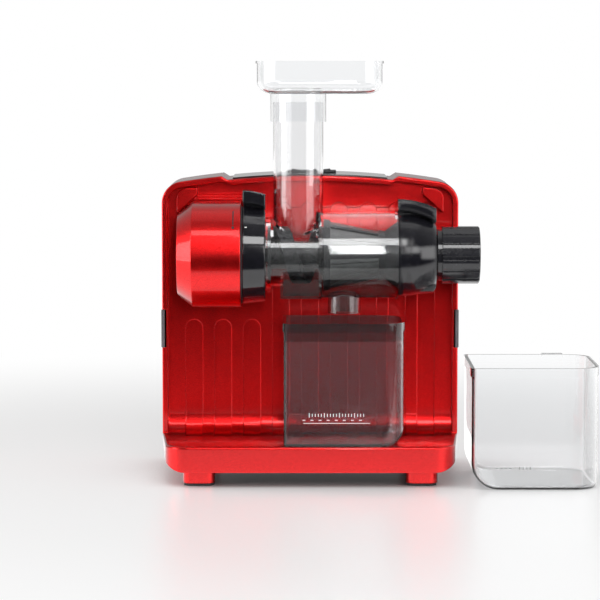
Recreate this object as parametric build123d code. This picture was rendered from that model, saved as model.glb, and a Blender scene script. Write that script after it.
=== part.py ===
from build123d import *
import os
from math import cos, degrees, pi, radians, sin

# A cold press juicer with a horizontal drum: an upright body with a shelf, a motor pod that
# carries the pressing drum, and two containers. All sizes are in millimetres.
# +X is to the right as seen from the front, -Y points at the user and +Z is up. The origin is
# the centre of the body's footprint on the counter.

# ---------------------------------------------------------------- body shell
BODY_HALF_W = 142.0        # half the width of the body
BODY_CROWN_Z = 289.9       # highest point of the arch that the top follows
TOP_ARCH_R = 790.0
TOP_CORNER_R = 21.0
BOTTOM_CORNER_R = 25.0
TOP_DIP = 4.0              # depth of the shallow dip along the top
TOP_DIP_HALF_W = 79.0
TOP_DIP_RUN = 6.4          # how far the dip's ends slope sideways over its depth
BASE_BOTTOM_Z = 14.0
SHELF_Z = 38.0             # top of the shelf that the juice container stands on
SHELF_FRONT_Y = -97.5
SHELF_TAPER = 8.0          # how much narrower the shelf is on each side at its front
SHELF_CORNER_R = 22.0
BODY_BACK_Y = 97.5
RIM_FRONT_Y = 0.0
PANEL_Y = 10.0             # front face of the panel, set back inside the rim
PANEL_T = 3.2
SEAM_Y = 20.0              # parting plane of the front and rear shells
SHELL_WALL = 2.6
RIM_W = 5.2
COVE_R = 17.0              # round between the panel and the shelf
RIM_EDGE_R = 1.6
SHELF_EDGE_R = 2.0
BACK_EDGE_R = 9.0

FLUTE_W = 16.5             # arched flutes pressed into the panel
FLUTE_PITCH = 27.9
FLUTE_COUNT = 9
FLUTE_DEPTH = 1.5
FLUTE_DROP = 29.9          # from the crown down to the tops of the tall flutes
LOW_FLUTES = 3             # flutes below the pod, which stop short
LOW_FLUTE_DROP = 17.0      # from the pod down to their tops
FLUTE_REACH = 14.0         # how far the flutes run out onto the shelf
LAND_DEPTH = 0.7           # the lands between the tall flutes lie this far back
LAND_DROP = 5.0

GUSSET_SIDE = 14.0         # raised boss in each upper corner: in from the body's side
GUSSET_DROP = 15.9         # down from the crown
GUSSET_W = 20.3
GUSSET_H = 23.0
GUSSET_LOW_W = 2.5         # width that is left at its lower end
GUSSET_LOW_H = 6.4         # height that is left at its inner end
GUSSET_R = 11.0
GUSSET_DEPTH = 7.0
STEP_LINE_RISE = (5.5, 2.9, 0.4)  # three fine ledges over the pod, up from its top
STEP_LINE_H = 1.0
STEP_LINE_DEPTH = 0.8

# ---------------------------------------------------------------- drum axis, pod and ring
AXIS_Y = -42.0
AXIS_DROP = 76.9           # from the crown down to the drum's axis
AXIS_Z = BODY_CROWN_Z - AXIS_DROP
POD_SIDE = 17.3            # from the body's left side in to the pod
POD_L = 59.6
POD_END_X = POD_SIDE + POD_L - BODY_HALF_W
POD_X = (POD_END_X - POD_L, POD_END_X)
POD_R = 49.0
POD_WALL = 2.5
POD_CHAMFER = (11.4, 14.0)  # in radius, and along the axis
POD_SHAFT_HOLE_R = 17.0


def past_pod(*distances):
    """Places along X, from how far each lies to the right of the pod's right-hand face."""
    return tuple(POD_END_X + distance for distance in distances)


MOUNT_FLANGE_T = 1.5
MOUNT_FLANGE_R = 46.0
MOUNT_R = 38.5
MOUNT_BORE_R = 33.0
MOUNT_END_X = POD_END_X + 13.1

RING_X = past_pod(1.9, 23.1)
RING_R = (45.9, 43.7)
RING_LIP_X = POD_END_X + 17.9
RING_LIP_R = 32.0
RING_WING_TOP = (61.4, 57.9)   # from the axis up to the thumb wing's top, at its two ends
RING_WING_LOW = (50.2, 46.2)
WING_HALF_D = 16.0         # half a thumb wing's depth from front to back
WING_WEB_T = 7.0           # the web that carries a wing
WING_ROOT = 1.0            # how deep the web is sunk into the ring
WING_EDGE_R = 1.2
TURN_GAP = 0.3             # radial gap between pieces that turn on each other

# ---------------------------------------------------------------- drum
DRUM_FLANGE_X = past_pod(13.4, 17.6)
TUBE_R = 30.0
TUBE_BORE_R = 27.5
COLLAR_X = past_pod(23.6, 28.1)
COLLAR_R = 35.5
BARREL_X = past_pod(73.1, 147.1)
BARREL_R = 40.7
BARREL_BORE_R = 38.0
BARREL_END_WALL = 2.5
BARREL_RIB_W = 2.4
BARREL_RIB_H = 1.2
MOUTH_R = 34.3             # the open right end, through which auger and screen go in
SPIGOT_R = 36.3
SPIGOT_L = 10.0
SPIGOT_X = BARREL_X[1] + SPIGOT_L
TROUGH_X = past_pod(37.1, 73.1)
TROUGH_HALF_W = 20.0
TROUGH_BOTTOM_Z = AXIS_Z - 40.0
DRUM_WALL = 2.5
NOZZLE_XC = POD_END_X + 97.3
NOZZLE_R = 15.5
NOZZLE_BORE_R = 12.8
NOZZLE_BOTTOM_Z = AXIS_Z - 54.7
CHUTE_XC = POD_END_X + 53.9
CHUTE_R = 23.5
CHUTE_BORE_R = 21.0
CHUTE_TOP_Z = AXIS_Z + 143.6
SADDLE_X = past_pod(28.1, 73.1)  # throat between the feed tube and the chute
SADDLE_HALF_W = 24.0
SADDLE_TOP_Z = AXIS_Z + 34.5
SADDLE_DIP_R = 27.0
SADDLE_DIP_Z = AXIS_Z + 49.0

# ---------------------------------------------------------------- auger and screen
AUGER_R = 27.0
AUGER_X = past_pod(25.1, 141.1)
AUGER_CONE_X = past_pod(78.1, 134.1)
AUGER_CORE_R = 13.0
AUGER_DISC_T = 3.0
FLIGHT_ARC = 120.0
FLIGHT_PITCH = 40.0
RIDGE_COUNT = 4
RIDGE_ARC = 26.0
RIDGE_TWIST = 110.0
RIDGE_H = 3.0
NOSE_R = 9.0
SCREEN_X = past_pod(77.7, 135.1)
SCREEN_RIB_H = 1.4
SCREEN_R = (MOUTH_R - TURN_GAP - SCREEN_RIB_H, 21.0)
SCREEN_T = 1.0
AUGER_GAP = 0.6            # between the auger's ridges and the screen
FUNNEL_WALL = 2.0
SCREEN_SLOTS = 16
SCREEN_SLOT_W = 0.9
SCREEN_RING_W = 6.0
SCREEN_RIBS = 6
SCREEN_RIB_ARC = 7.0
SCREEN_RIB_SINK = 0.14     # how far the ribs stand in from the rings' faces

# ---------------------------------------------------------------- end cap and outlet knob
CAP_X = past_pod(147.2, 183.2)
CAP_R = 38.8
CAP_END_R = 30.0
CAP_STRAIGHT_X = POD_END_X + 153.1
CAP_WALL = 2.4
CAP_WING_TOP = (53.2, 44.8)
CAP_WING_LOW = (42.8, 31.9)
CAP_LUG_X = past_pod(165.1, 183.2)
CAP_LUG_R = 37.0
CAP_LUG_ARC = 52.0         # degrees of arc that the grip lug covers
OUTLET_R = 15.5
OUTLET_TUBE_R = 19.0
OUTLET_TUBE_L = 31.9
OUTLET_TUBE_X = CAP_X[1] + OUTLET_TUBE_L
KNOB_X = past_pod(184.3, 224.1)
KNOB_R = 27.0
KNOB_NECK_R = 24.5
KNOB_NECK_L = 4.5
KNOB_RIBS = 14
KNOB_GROOVE_SHARE = 0.3    # of the way from one rib to the next
KNOB_RIB_DEPTH = 1.3
KNOB_LIP_T = 7.5
KNOB_EDGE = 1.0

# ---------------------------------------------------------------- hopper tray
TRAY_X = past_pod(14.3, 133.2)
TRAY_DEPTH = 90.0
TRAY_Z = (CHUTE_TOP_Z + 8.0, CHUTE_TOP_Z + 38.4)
TRAY_CORNER_R = 24.0
TRAY_BOTTOM_R = 13.0
TRAY_WALL = 2.2
TRAY_LIP = 1.2
COLLAR_TUBE_R = 26.15
COLLAR_TUBE_BOTTOM_Z = CHUTE_TOP_Z - 18.3

# ---------------------------------------------------------------- containers
JUICE_X = past_pod(39.3, 153.7)
JUICE_Y = (-95.0, -8.5)
JUICE_GAP = 5.3            # from the nozzle down to the juice container's rim
JUICE_H = NOZZLE_BOTTOM_Z - JUICE_GAP - SHELF_Z
JUICE_WALL = 2.2
JUICE_CORNER_R = 22.0      # right-hand corners; the left ones are nearly square
JUICE_SQUARE_R = 4.0
JUICE_BOTTOM_R = (3.5, 20.0)   # bottom corners as seen from the front, left and right
PULP_STAND = 6.0           # from the body's side to the pulp container
PULP_L = 120.0
PULP_X = (BODY_HALF_W + PULP_STAND, BODY_HALF_W + PULP_STAND + PULP_L)
PULP_Y = (-112.0, 12.0)
PULP_H = 113.0
PULP_WALL = 2.4
PULP_CORNER_R = 24.0
PULP_SQUARE_R = 6.0
PULP_FLOOR_R = 26.0        # bottom corner on the left
RIM_BAND_H = 8.0
RIM_BAND_T = 1.0
INNER_CORNER_R = 0.5       # least radius of an inside corner
FLOOR_CREASE = 5.0         # degrees between a bin's side and the start of its rounded bottom
PULP_TAB = (20.0, 12.0, 3.0)

# ---------------------------------------------------------------- gear train and gearbox
OUT_TEETH = 54
OUT_PINION_TEETH = 15
OUT_MODULE = 1.5
FIRST_TEETH = 72
FIRST_PINION_TEETH = 12
FIRST_MODULE = 1.0
TOOTH_ADDENDUM = 0.75      # in modules
TOOTH_DEDENDUM = 1.1
TOOTH_HALF = 0.70          # half the tooth thickness at the pitch circle, in modules
TOOTH_SLOPE = 0.36
MOTOR_ANGLE = -24.4        # degrees from level, from the countershaft to the motor's axis
PINION_EXTRA = 1.0         # how far a small gear stands out past its large one, each way
CASE_X = past_pod(-44.1, -6.9)
CASE_WALL = 3.0
GEAR_TIP_GAP = 1.2
WINDOW_GAP = 2.5           # round the gearbox, in the hole through the panel
OUT_GEAR_X = past_pod(-37.9, -26.9)
FIRST_GEAR_X = past_pod(-20.9, -12.9)
COUNTER_PIN_R = 4.0
COUNTER_HUB_R = 9.0
RUN_CLEARANCE = 0.05
END_FLOAT = 0.3
SHAFT_R = 8.0
SHAFT_SHOULDER_R = 10.0
SHAFT_END_GAP = 0.8        # from the shaft's left end to the left bearing's outer face
BEARING_R = 13.0
BEARING_W = 7.0
BEARING_SEAT = (0.8, 0.5)  # how far each bearing is pushed in past the wall's thickness
BEARING_BOSS_R = 16.0
BEARING_STOP = (2.0, 1.0)  # wall outside each bearing
SHIELD_T = 0.5
SHIELD_W = 1.5             # width of the bearing's rings beside the shield
SOCKET_R = 14.0
SOCKET_X = past_pod(-3.6, 13.1)
HEX_AF = 13.0              # across the flats of the drive socket
HEX_DEPTH = 14.0
HEX_GAP = 0.2
LUG_OUT = 50.0             # from the axis up or down to a mounting lug's screw
LUG_HALF_W = 9.0
LUG_END = 5.4              # from the screw to the lug's end
LUG_ROOT = 31.0            # from the axis to where the lug starts inside the case's wall
SCREW_R = 1.6
SCREW_HEAD_R = 3.2
SCREW_HEAD_H = 2.2
SCREW_HOLE_GAP = 0.1
BOSS_R = 5.0

# ---------------------------------------------------------------- motor
MOTOR_GAP = 1.8            # from the back of the panel to the motor
MOTOR_WALL = 2.5
STATOR_X = past_pod(27.1, 71.1)
STATOR_BORE_R = 18.2
AIR_GAP = 0.5
WINDING_GAP = (1.8, 1.5)   # from the stator's bore, and from the end bell's wall
WINDING_L = 10.0
WINDING_EDGE_R = 3.0
BELL_END_X = POD_END_X + 97.1
BELL_T = 3.0
MOTOR_SHAFT_R = 4.0
MOTOR_SHAFT_X = past_pod(-22.9, 110.1)
MOTOR_BUSH_R = 7.0
MOTOR_BUSH_L = 8.0
MOTOR_BUSH_WALL = 3.0
MOTOR_BOLT_OUT = 2.0       # from the motor's surface to the axes of its bolts
MOTOR_BOLT_COUNT = 4
MOTOR_LUG_R = 4.5
FAN_X = past_pod(99.1, 109.1)
FAN_R = 27.0
FAN_HUB_R = 8.0
FAN_BLADES = 9
FAN_BLADE_T = 1.6
FAN_ROOT = 1.0             # how deep each blade is sunk into the hub

# ---------------------------------------------------------------- base, switch and small parts
FLOOR_INSET = 30.0         # from the body's side to the opening in the underside
FLOOR_Y = (-88.0, 84.0)
COVER_GAP = 0.3
COVER_FLANGE = 4.0
COVER_T = 2.4
FOOT_INSET = 38.0          # from the body's side to the middle of a foot
FOOT_Y = (-74.0, 74.0)
FOOT_W = 30.0
FOOT_D = 26.0
FOOT_CORNER_R = 9.0
FOOT_PAD_H = 2.5
FOOT_PAD_INSET = 1.0
PILLAR_H = 20.0            # height of the rear feet's screw pillars
TRIM_END_GAP = 5.0         # from the dip's end to the trim
TRIM_Y = (5.0, 88.0)
TRIM_T = 1.4
SWITCH_YC = 62.0
SWITCH_HALF = (20.5, 11.0)  # half sizes of the hole that the rocker sits in
SWITCH_WALL = 2.0
SWITCH_FLANGE = 3.0
SWITCH_FLANGE_T = 1.2
SWITCH_DEPTH = 20.0
ROCKER_GAP = 0.6
ROCKER_PROUD = 2.6
ROCKER_BELOW = 6.0
ROCKER_KEEL = 2.0          # how much deeper the rocker is under its pivot
ROCKER_DISH = 2.0
PIVOT_R = 1.2
PIVOT_DROP = 2.3           # from the trim's top down to the rocker's pivot
PIVOT_REACH = 1.5          # how far its pins reach out of the rocker's ends
LATCH_Z = (121.0, 157.0)
LATCH_T = 3.2
LATCH_PROUD = 0.8
LATCH_Y = (-0.8, 17.0)
LATCH_TRAVEL = 1.5
LATCH_GAP = 0.3
REAR_SCREWS = ((14.0, 229.9), (14.0, 111.9), (24.0, 27.9))  # in from the side, down from the crown
VENT_ROWS = 9
VENT_PITCH = 9.0
VENT_SLOT = (62.0, 3.2)
VENT_XC = 60.0
VENT_DROP = 17.0           # from the drum's axis down to the middle of the vents
BOARD_SIDE = 30.0          # from the body's side to the circuit board
BOARD_W = 54.0
BOARD_H = 72.0
BOARD_DROP = 99.9          # from the crown down to the board's top
BOARD_Y = 80.0
BOARD_T = 1.6
BOARD_HOLE_INSET = 5.0
RELAY = ((-15.0, 5.0), 14.0, (-30.0, -14.0))    # about the board's middle, and from its top
DRIVER = ((-8.0, 8.0), 3.0, (-44.0, -36.0))
PLUG = ((-18.0, 10.0), 9.0, (-64.0, -56.0))
STANDOFF_R = 3.0
CAPACITOR_R = 14.0
CAPACITOR_L = 52.0
CAPACITOR_EDGE_R = 2.0
CAPACITOR_SIDE = 56.0      # from the body's side to the capacitor's middle
CAPACITOR_Y = 62.0
TAG_PITCH = 12.0           # the capacitor's two blade terminals
TAG = (1.0, 6.0, 8.0)
TERMINAL_SIDE = 64.0       # from the body's left side to the terminal block
TERMINAL_L = 34.0
TERMINAL_Y = (66.0, 80.0)
TERMINAL_H = 16.0
TERMINAL_COUNT = 3
GLAND_SIDE = 38.0          # from the body's left side to the cord inlet
GLAND_Z = 60.0
GLAND_R = 8.0
GLAND_BORE_R = 3.7
GLAND_FLANGE_R = 11.0
GLAND_FLANGE_T = 2.0
GLAND_EDGE_R = 1.5
GLAND_LENGTH = 16.0

# ---------------------------------------------------------------- places worked out from the sizes
SPAN = 2 * (BODY_HALF_W + BODY_CROWN_Z)  # reaches past the whole body, for cutting right through
UP = 90.0                  # degrees of turn about X that bring a body of revolution's start to the top
SHELF_HALF_W = BODY_HALF_W - SHELF_TAPER
FLOOR_HALF_W = BODY_HALF_W - FLOOR_INSET
FOOT_XC = BODY_HALF_W - FOOT_INSET
COUNTER_Y = AXIS_Y + OUT_MODULE * (OUT_TEETH + OUT_PINION_TEETH) / 2
FIRST_CENTRES = FIRST_MODULE * (FIRST_TEETH + FIRST_PINION_TEETH) / 2
MOTOR_Y = COUNTER_Y + FIRST_CENTRES * cos(radians(MOTOR_ANGLE))
MOTOR_Z = AXIS_Z + FIRST_CENTRES * sin(radians(MOTOR_ANGLE))
PANEL_BACK_Y = PANEL_Y + PANEL_T
MOTOR_R = MOTOR_Y - PANEL_BACK_Y - MOTOR_GAP
MOTOR_BOLT_AT = MOTOR_R + MOTOR_BOLT_OUT
ROTOR_R = STATOR_BORE_R - AIR_GAP
CASE_COVER_X = (CASE_X[1], CASE_X[1] + CASE_WALL)
DIP_R = TOP_ARCH_R - TOP_DIP
ARCH_ZC = BODY_CROWN_Z - TOP_ARCH_R
TRIM_TOP_Z = ARCH_ZC + DIP_R + TRIM_T
TRIM_HALF_W = TOP_DIP_HALF_W - TRIM_END_GAP
INSIDE_Z = BASE_BOTTOM_Z + SHELL_WALL + COVER_T
BOARD_X = (BODY_HALF_W - BOARD_SIDE - BOARD_W, BODY_HALF_W - BOARD_SIDE)
BOARD_Z = (BODY_CROWN_Z - BOARD_DROP - BOARD_H, BODY_CROWN_Z - BOARD_DROP)
TERMINAL_X = (TERMINAL_SIDE - BODY_HALF_W, TERMINAL_SIDE + TERMINAL_L - BODY_HALF_W)
GLAND_XC = GLAND_SIDE - BODY_HALF_W


# ---------------------------------------------------------------- drawing helpers
def front_prism(shape, y0, y1):
    """A shape drawn as seen from the front, in x and z, made solid from y0 back to y1."""
    return extrude(Plane.XZ.offset(-y0) * shape, amount=-(y1 - y0))


def side_prism(shape, x0, x1):
    """A shape drawn in y and z, made solid from x0 to x1."""
    return extrude(Plane.YZ.offset(x0) * shape, amount=x1 - x0)


def plan_prism(shape, z0, z1):
    """A shape drawn in plan, made solid from z0 up to z1."""
    return extrude(Plane.XY.offset(z0) * shape, amount=z1 - z0)


def block(x, y, z):
    """A box from its three (low, high) pairs."""
    place = Pos((x[0] + x[1]) / 2, (y[0] + y[1]) / 2, (z[0] + z[1]) / 2)
    return place * Box(x[1] - x[0], y[1] - y[0], z[1] - z[0])


def outline(*points):
    """A flat shape through the points, facing the same way whichever way round they run."""
    turns = zip(points, points[1:] + points[:1])
    area = sum(a[0] * b[1] - b[0] * a[1] for a, b in turns)
    return Polygon(*(points if area > 0 else points[::-1]), align=None)


def turned(*profile, y=AXIS_Y, z=AXIS_Z, arc=360.0, start=0.0):
    """A body of revolution about an axis along X, from its half profile of (x, radius) points."""
    return Pos(0, y, z) * Rot(start, 0, 0) * revolve(outline(*profile), Axis.X, arc)


def rod(x0, x1, radius, y=AXIS_Y, z=AXIS_Z):
    return side_prism(Pos(y, z) * Circle(radius), x0, x1)


def tube(x0, x1, outer, inner, y=AXIS_Y, z=AXIS_Z):
    return side_prism(Pos(y, z) * (Circle(outer) - Circle(inner)), x0, x1)


def upright(x, y, radius, z0, z1):
    return plan_prism(Pos(x, y) * Circle(radius), z0, z1)


def rearward(x, z, radius, y0, y1):
    return front_prism(Pos(x, z) * Circle(radius), y0, y1)


def total(shapes):
    """The union of a list of shapes."""
    shapes = list(shapes)
    whole = shapes[0]
    for shape in shapes[1:]:
        whole = whole + shape
    return whole


def less(whole, cuts):
    for cut in cuts:
        whole = whole - cut
    return whole


# ---------------------------------------------------------------- screws
def rear_screw(x, z, y_head, length, radius=SCREW_R, grow=0.0):
    """A pan-head screw driven forwards from the back; grow widens it into the hole for it."""
    shank = rearward(x, z, radius + grow, y_head - length, y_head)
    head = rearward(x, z, SCREW_HEAD_R + grow, y_head, y_head + SCREW_HEAD_H)
    return shank + head


def foot_screw(x, y, z_head, length, grow=0.0):
    """A screw driven upwards through a foot."""
    shank = upright(x, y, SCREW_R + grow, z_head, z_head + length)
    head = upright(x, y, SCREW_HEAD_R + grow, z_head - SCREW_HEAD_H, z_head)
    return shank + head


# ---------------------------------------------------------------- body shells
def body_outline(inset=0.0):
    """The body from the front: straight sides, an arched top with a shallow dip, round corners."""
    half = BODY_HALF_W - inset
    low = BASE_BOTTOM_Z + inset
    high = BODY_CROWN_Z + TOP_CORNER_R
    sides = Pos(0, (low + high) / 2) * Rectangle(2 * half, high - low)
    face = sides & Pos(0, ARCH_ZC) * Circle(TOP_ARCH_R - inset)
    face = fillet(face.vertices().group_by(Axis.Y)[-1], TOP_CORNER_R - inset)
    face = fillet(face.vertices().group_by(Axis.Y)[0], BOTTOM_CORNER_R - inset)
    return face - top_dip(inset)


def top_dip(inset=0.0):
    """The dip along the top, with sloping ends and a floor that follows the arch."""
    floor_z = ARCH_ZC + DIP_R
    run = 2 * TOP_DIP_RUN
    half = TOP_DIP_HALF_W + inset
    low = floor_z - 3 * TOP_DIP
    high = floor_z + TOP_DIP
    wedge = outline((run - half, low), (half - run, low), (half + run, high), (-half - run, high))
    return wedge - Pos(0, ARCH_ZC) * Circle(DIP_R - inset)


def shelf_plan(inset=0.0):
    """The shelf from above, a little narrower at the front, with round front corners."""
    half = BODY_HALF_W - inset
    front = SHELF_HALF_W - inset
    y = SHELF_FRONT_Y + inset
    plan = outline((-half, SEAM_Y), (-half, RIM_FRONT_Y), (-front, y), (front, y),
                   (half, RIM_FRONT_Y), (half, SEAM_Y))
    return fillet(plan.vertices().group_by(Axis.Y)[0], SHELF_CORNER_R - inset)


def flute(x, top_z):
    """One arch-topped flute that runs down the panel, round the cove and out onto the shelf."""
    low = SHELF_Z - FLUTE_DEPTH
    cove_y = PANEL_Y - COVE_R
    cove_z = SHELF_Z + COVE_R
    front_y = cove_y - FLUTE_REACH
    solid = (outline((front_y, low), (cove_y, low), (cove_y, cove_z), (front_y, cove_z))
             + Pos(cove_y, cove_z) * Circle(COVE_R + FLUTE_DEPTH)
             + outline((cove_y, cove_z), (PANEL_Y + FLUTE_DEPTH, cove_z),
                       (PANEL_Y + FLUTE_DEPTH, top_z), (cove_y, top_z)))
    arch_z = top_z - FLUTE_W / 2
    face = (Pos(x, (low + arch_z) / 2) * Rectangle(FLUTE_W, arch_z - low)
            + Pos(x, arch_z) * Circle(FLUTE_W / 2))
    return side_prism(solid, x - FLUTE_W, x + FLUTE_W) & front_prism(face, front_y, SEAM_Y)


def flute_places():
    """Middle and top of each flute, from left to right."""
    first = -FLUTE_PITCH * (FLUTE_COUNT - 1) / 2
    low = AXIS_Z - POD_R - LOW_FLUTE_DROP
    high = BODY_CROWN_Z - FLUTE_DROP
    return [(first + i * FLUTE_PITCH, low if i < LOW_FLUTES else high)
            for i in range(FLUTE_COUNT)]


def panel_lands():
    """The slightly sunk field that holds the tall flutes."""
    places = flute_places()
    x0 = places[LOW_FLUTES][0] - FLUTE_W / 2
    x1 = places[-1][0] + FLUTE_W / 2
    top = BODY_CROWN_Z - FLUTE_DROP - LAND_DROP
    return block((x0, x1), (PANEL_Y, PANEL_Y + LAND_DEPTH), (SHELF_Z + COVE_R, top))


def gusset(side):
    """A raised boss in an upper corner of the panel, cut across its lower inner side."""
    x1 = BODY_HALF_W - GUSSET_SIDE
    x0 = x1 - GUSSET_W
    z1 = BODY_CROWN_Z - GUSSET_DROP
    z0 = z1 - GUSSET_H
    corners = ((x1 - GUSSET_LOW_W, z0), (x1, z0), (x1, z1), (x0, z1), (x0, z1 - GUSSET_LOW_H))
    face = outline(*[(side * x, z) for x, z in corners])
    outer = face.vertices().filter_by(lambda v: abs(v.X) > x0 + GUSSET_W / 2).sort_by(Axis.Y)[-1]
    solid = front_prism(fillet(outer, GUSSET_R), PANEL_Y - GUSSET_DEPTH, PANEL_Y)
    return fillet(solid.faces().sort_by(Axis.Y)[0].edges(), STEP_LINE_H)


def step_lines():
    """Three fine ledges that run from the left boss to the locking ring."""
    x = (GUSSET_SIDE + GUSSET_W - BODY_HALF_W, POD_X[1])
    pod_top = AXIS_Z + POD_R
    return [block(x, (PANEL_Y - STEP_LINE_DEPTH, PANEL_Y),
                  (pod_top + rise, pod_top + rise + STEP_LINE_H)) for rise in STEP_LINE_RISE]


def pod_window():
    """The hole in the panel behind the pod, which the gearbox passes through."""
    reach = case_radius(FIRST_MODULE, FIRST_TEETH, CASE_WALL) + WINDOW_GAP
    return block((POD_X[0] + 2 * POD_WALL, POD_X[1] - POD_WALL - END_FLOAT),
                 (PANEL_Y - GUSSET_DEPTH, SEAM_Y), (AXIS_Z - reach, AXIS_Z + reach))


def latch_pocket(side):
    x0 = BODY_HALF_W + LATCH_PROUD - LATCH_T - LATCH_TRAVEL - LATCH_GAP
    x = sorted((side * x0, side * (BODY_HALF_W + RIM_W)))
    y = (LATCH_Y[0] - RIM_W, LATCH_Y[1] + LATCH_GAP)
    return block(x, y, (LATCH_Z[0] - LATCH_GAP, LATCH_Z[1] + LATCH_GAP))


def side_latch(side):
    """A press plate in the edge of the rim, which lets go of a stored container."""
    x0 = BODY_HALF_W + LATCH_PROUD - LATCH_T
    x = sorted((side * x0, side * (BODY_HALF_W + LATCH_PROUD)))
    plate = block(x, LATCH_Y, LATCH_Z)
    outer = plate.faces().sort_by(Axis.X)[-1 if side > 0 else 0]
    return fillet(outer.edges(), LATCH_PROUD)


def rear_screw_places():
    return [(side * (BODY_HALF_W - inset), BODY_CROWN_Z - drop)
            for side in (-1, 1) for inset, drop in REAR_SCREWS]


def foot_places():
    return [(side * FOOT_XC, y) for side in (-1, 1) for y in FOOT_Y]


def lug_places():
    """Where the gearbox is screwed to the back of the panel, as (x, z)."""
    x = (CASE_X[0] + CASE_X[1]) / 2
    return [(x, AXIS_Z + LUG_OUT), (x, AXIS_Z - LUG_OUT)]


def front_shell():
    """Rim, panel and shelf in one moulding."""
    tray = front_prism(body_outline(), RIM_FRONT_Y, SEAM_Y)
    tray = fillet(tray.faces().sort_by(Axis.Y)[0].edges(), RIM_EDGE_R)
    shelf = plan_prism(shelf_plan(), BASE_BOTTOM_Z, SHELF_Z)
    shelf = shelf & front_prism(body_outline(), SHELF_FRONT_Y, SEAM_Y)
    above = block((-SPAN, SPAN), (RIM_FRONT_Y, PANEL_Y), (SHELF_Z, SPAN))
    tray = tray - (front_prism(body_outline(RIM_W), RIM_FRONT_Y, PANEL_Y) & above)
    cove_y = PANEL_Y - COVE_R
    cove_z = SHELF_Z + COVE_R
    cove = outline((cove_y, SHELF_Z), (PANEL_Y, SHELF_Z), (PANEL_Y, cove_z))
    cove = cove - Pos(cove_y, cove_z) * Circle(COVE_R)
    cove_half = BODY_HALF_W - RIM_W
    shelf_edges = shelf.faces().filter_by(Plane.XY).sort_by(Axis.Z)[-1].edges()
    shelf_edges = shelf_edges.filter_by(lambda e: e.center().Y < RIM_FRONT_Y)
    shell = fillet(shelf_edges, SHELF_EDGE_R)
    shell = shell + tray + side_prism(cove, -cove_half, cove_half)
    hollow = front_prism(body_outline(SHELL_WALL), PANEL_BACK_Y, SEAM_Y)
    under = plan_prism(shelf_plan(SHELL_WALL), BASE_BOTTOM_Z, SHELF_Z - SHELL_WALL)
    under = under & front_prism(body_outline(SHELL_WALL), SHELF_FRONT_Y, SEAM_Y)
    floor = block((-FLOOR_HALF_W, FLOOR_HALF_W), (FLOOR_Y[0], SEAM_Y),
                  (BASE_BOTTOM_Z, SHELF_Z - SHELL_WALL))
    shell = less(shell, [hollow, under, floor, panel_lands()])
    shell = less(shell, [flute(x, top) for x, top in flute_places()])
    shell = total([shell, gusset(-1), gusset(1)] + step_lines())
    shell = less(shell, [pod_window(), latch_pocket(-1), latch_pocket(1)])
    bosses = [rearward(x, z, BOSS_R, PANEL_Y + PANEL_T / 2, SEAM_Y)
              for x, z in rear_screw_places() + lug_places()]
    pillars = [upright(x, y, BOSS_R, INSIDE_Z, SHELF_Z - SHELL_WALL / 2)
               for x, y in foot_places() if y < 0]
    shell = total([shell] + bosses + pillars)
    return less(shell, shell_screws(SCREW_HOLE_GAP))


def rear_shell():
    """The deep back half of the body, with vents, screw tubes and the cord inlet's hole."""
    outer = front_prism(body_outline(), SEAM_Y, BODY_BACK_Y)
    outer = fillet(outer.faces().sort_by(Axis.Y)[-1].edges(), BACK_EDGE_R)
    inner_back = BODY_BACK_Y - SHELL_WALL
    inner = front_prism(body_outline(SHELL_WALL), SEAM_Y, inner_back)
    inner = fillet(inner.faces().sort_by(Axis.Y)[-1].edges(), BACK_EDGE_R - SHELL_WALL)
    floor = block((-FLOOR_HALF_W, FLOOR_HALF_W), (SEAM_Y, FLOOR_Y[1]),
                  (BASE_BOTTOM_Z, BASE_BOTTOM_Z + SHELL_WALL))
    shell = less(outer, [inner, floor, switch_hole()])
    wall_middle = inner_back + SHELL_WALL / 2
    tubes = [rearward(x, z, BOSS_R, SEAM_Y, wall_middle) for x, z in rear_screw_places()]
    standoffs = [rearward(x, z, STANDOFF_R, BOARD_Y + BOARD_T, wall_middle)
                 for x, z in board_holes()]
    pillars = []
    for x, y in foot_places():
        if y > 0:
            pillars.append(upright(x, y, BOSS_R, INSIDE_Z, INSIDE_Z + PILLAR_H))
            pillars.append(block((x - BOSS_R / 2, x + BOSS_R / 2), (y, wall_middle),
                                 (INSIDE_Z, INSIDE_Z + PILLAR_H)))
    shell = total([shell] + tubes + standoffs + pillars)
    gland = rearward(GLAND_XC, GLAND_Z, GLAND_R, inner_back - SHELL_WALL, BODY_BACK_Y)
    return less(shell, vent_slots() + [gland] + shell_screws(SCREW_HOLE_GAP))


def vent_slots():
    """Two banks of level slots in the back, behind the motor."""
    first = AXIS_Z - VENT_DROP - (VENT_ROWS - 1) / 2 * VENT_PITCH
    slot = SlotOverall(*VENT_SLOT)
    return [front_prism(Pos(x, first + i * VENT_PITCH) * slot, BODY_BACK_Y - 2 * SHELL_WALL,
                        BODY_BACK_Y)
            for x in (-VENT_XC, VENT_XC) for i in range(VENT_ROWS)]


def shell_screws(grow=0.0):
    """Screws that join the two shells, and those of the feet; grow widens them into holes."""
    length = BODY_BACK_Y - SHELL_WALL - PANEL_BACK_Y - PANEL_T / 2
    back = [rear_screw(x, z, BODY_BACK_Y - SCREW_HEAD_H, length, grow=grow)
            for x, z in rear_screw_places()]
    return back + foot_screws(grow) + gearbox_screws(grow)


def foot_screws(grow=0.0):
    head_z = FOOT_PAD_H + SCREW_HEAD_H
    length = SHELF_Z - SHELL_WALL - FOOT_PAD_H - 2 * SCREW_HEAD_H
    return [foot_screw(x, y, head_z, length, grow) for x, y in foot_places()]


def gearbox_screws(grow=0.0):
    length = SEAM_Y + CASE_WALL - PANEL_BACK_Y
    return [rear_screw(x, z, SEAM_Y + CASE_WALL, length, grow=grow) for x, z in lug_places()]


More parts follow.
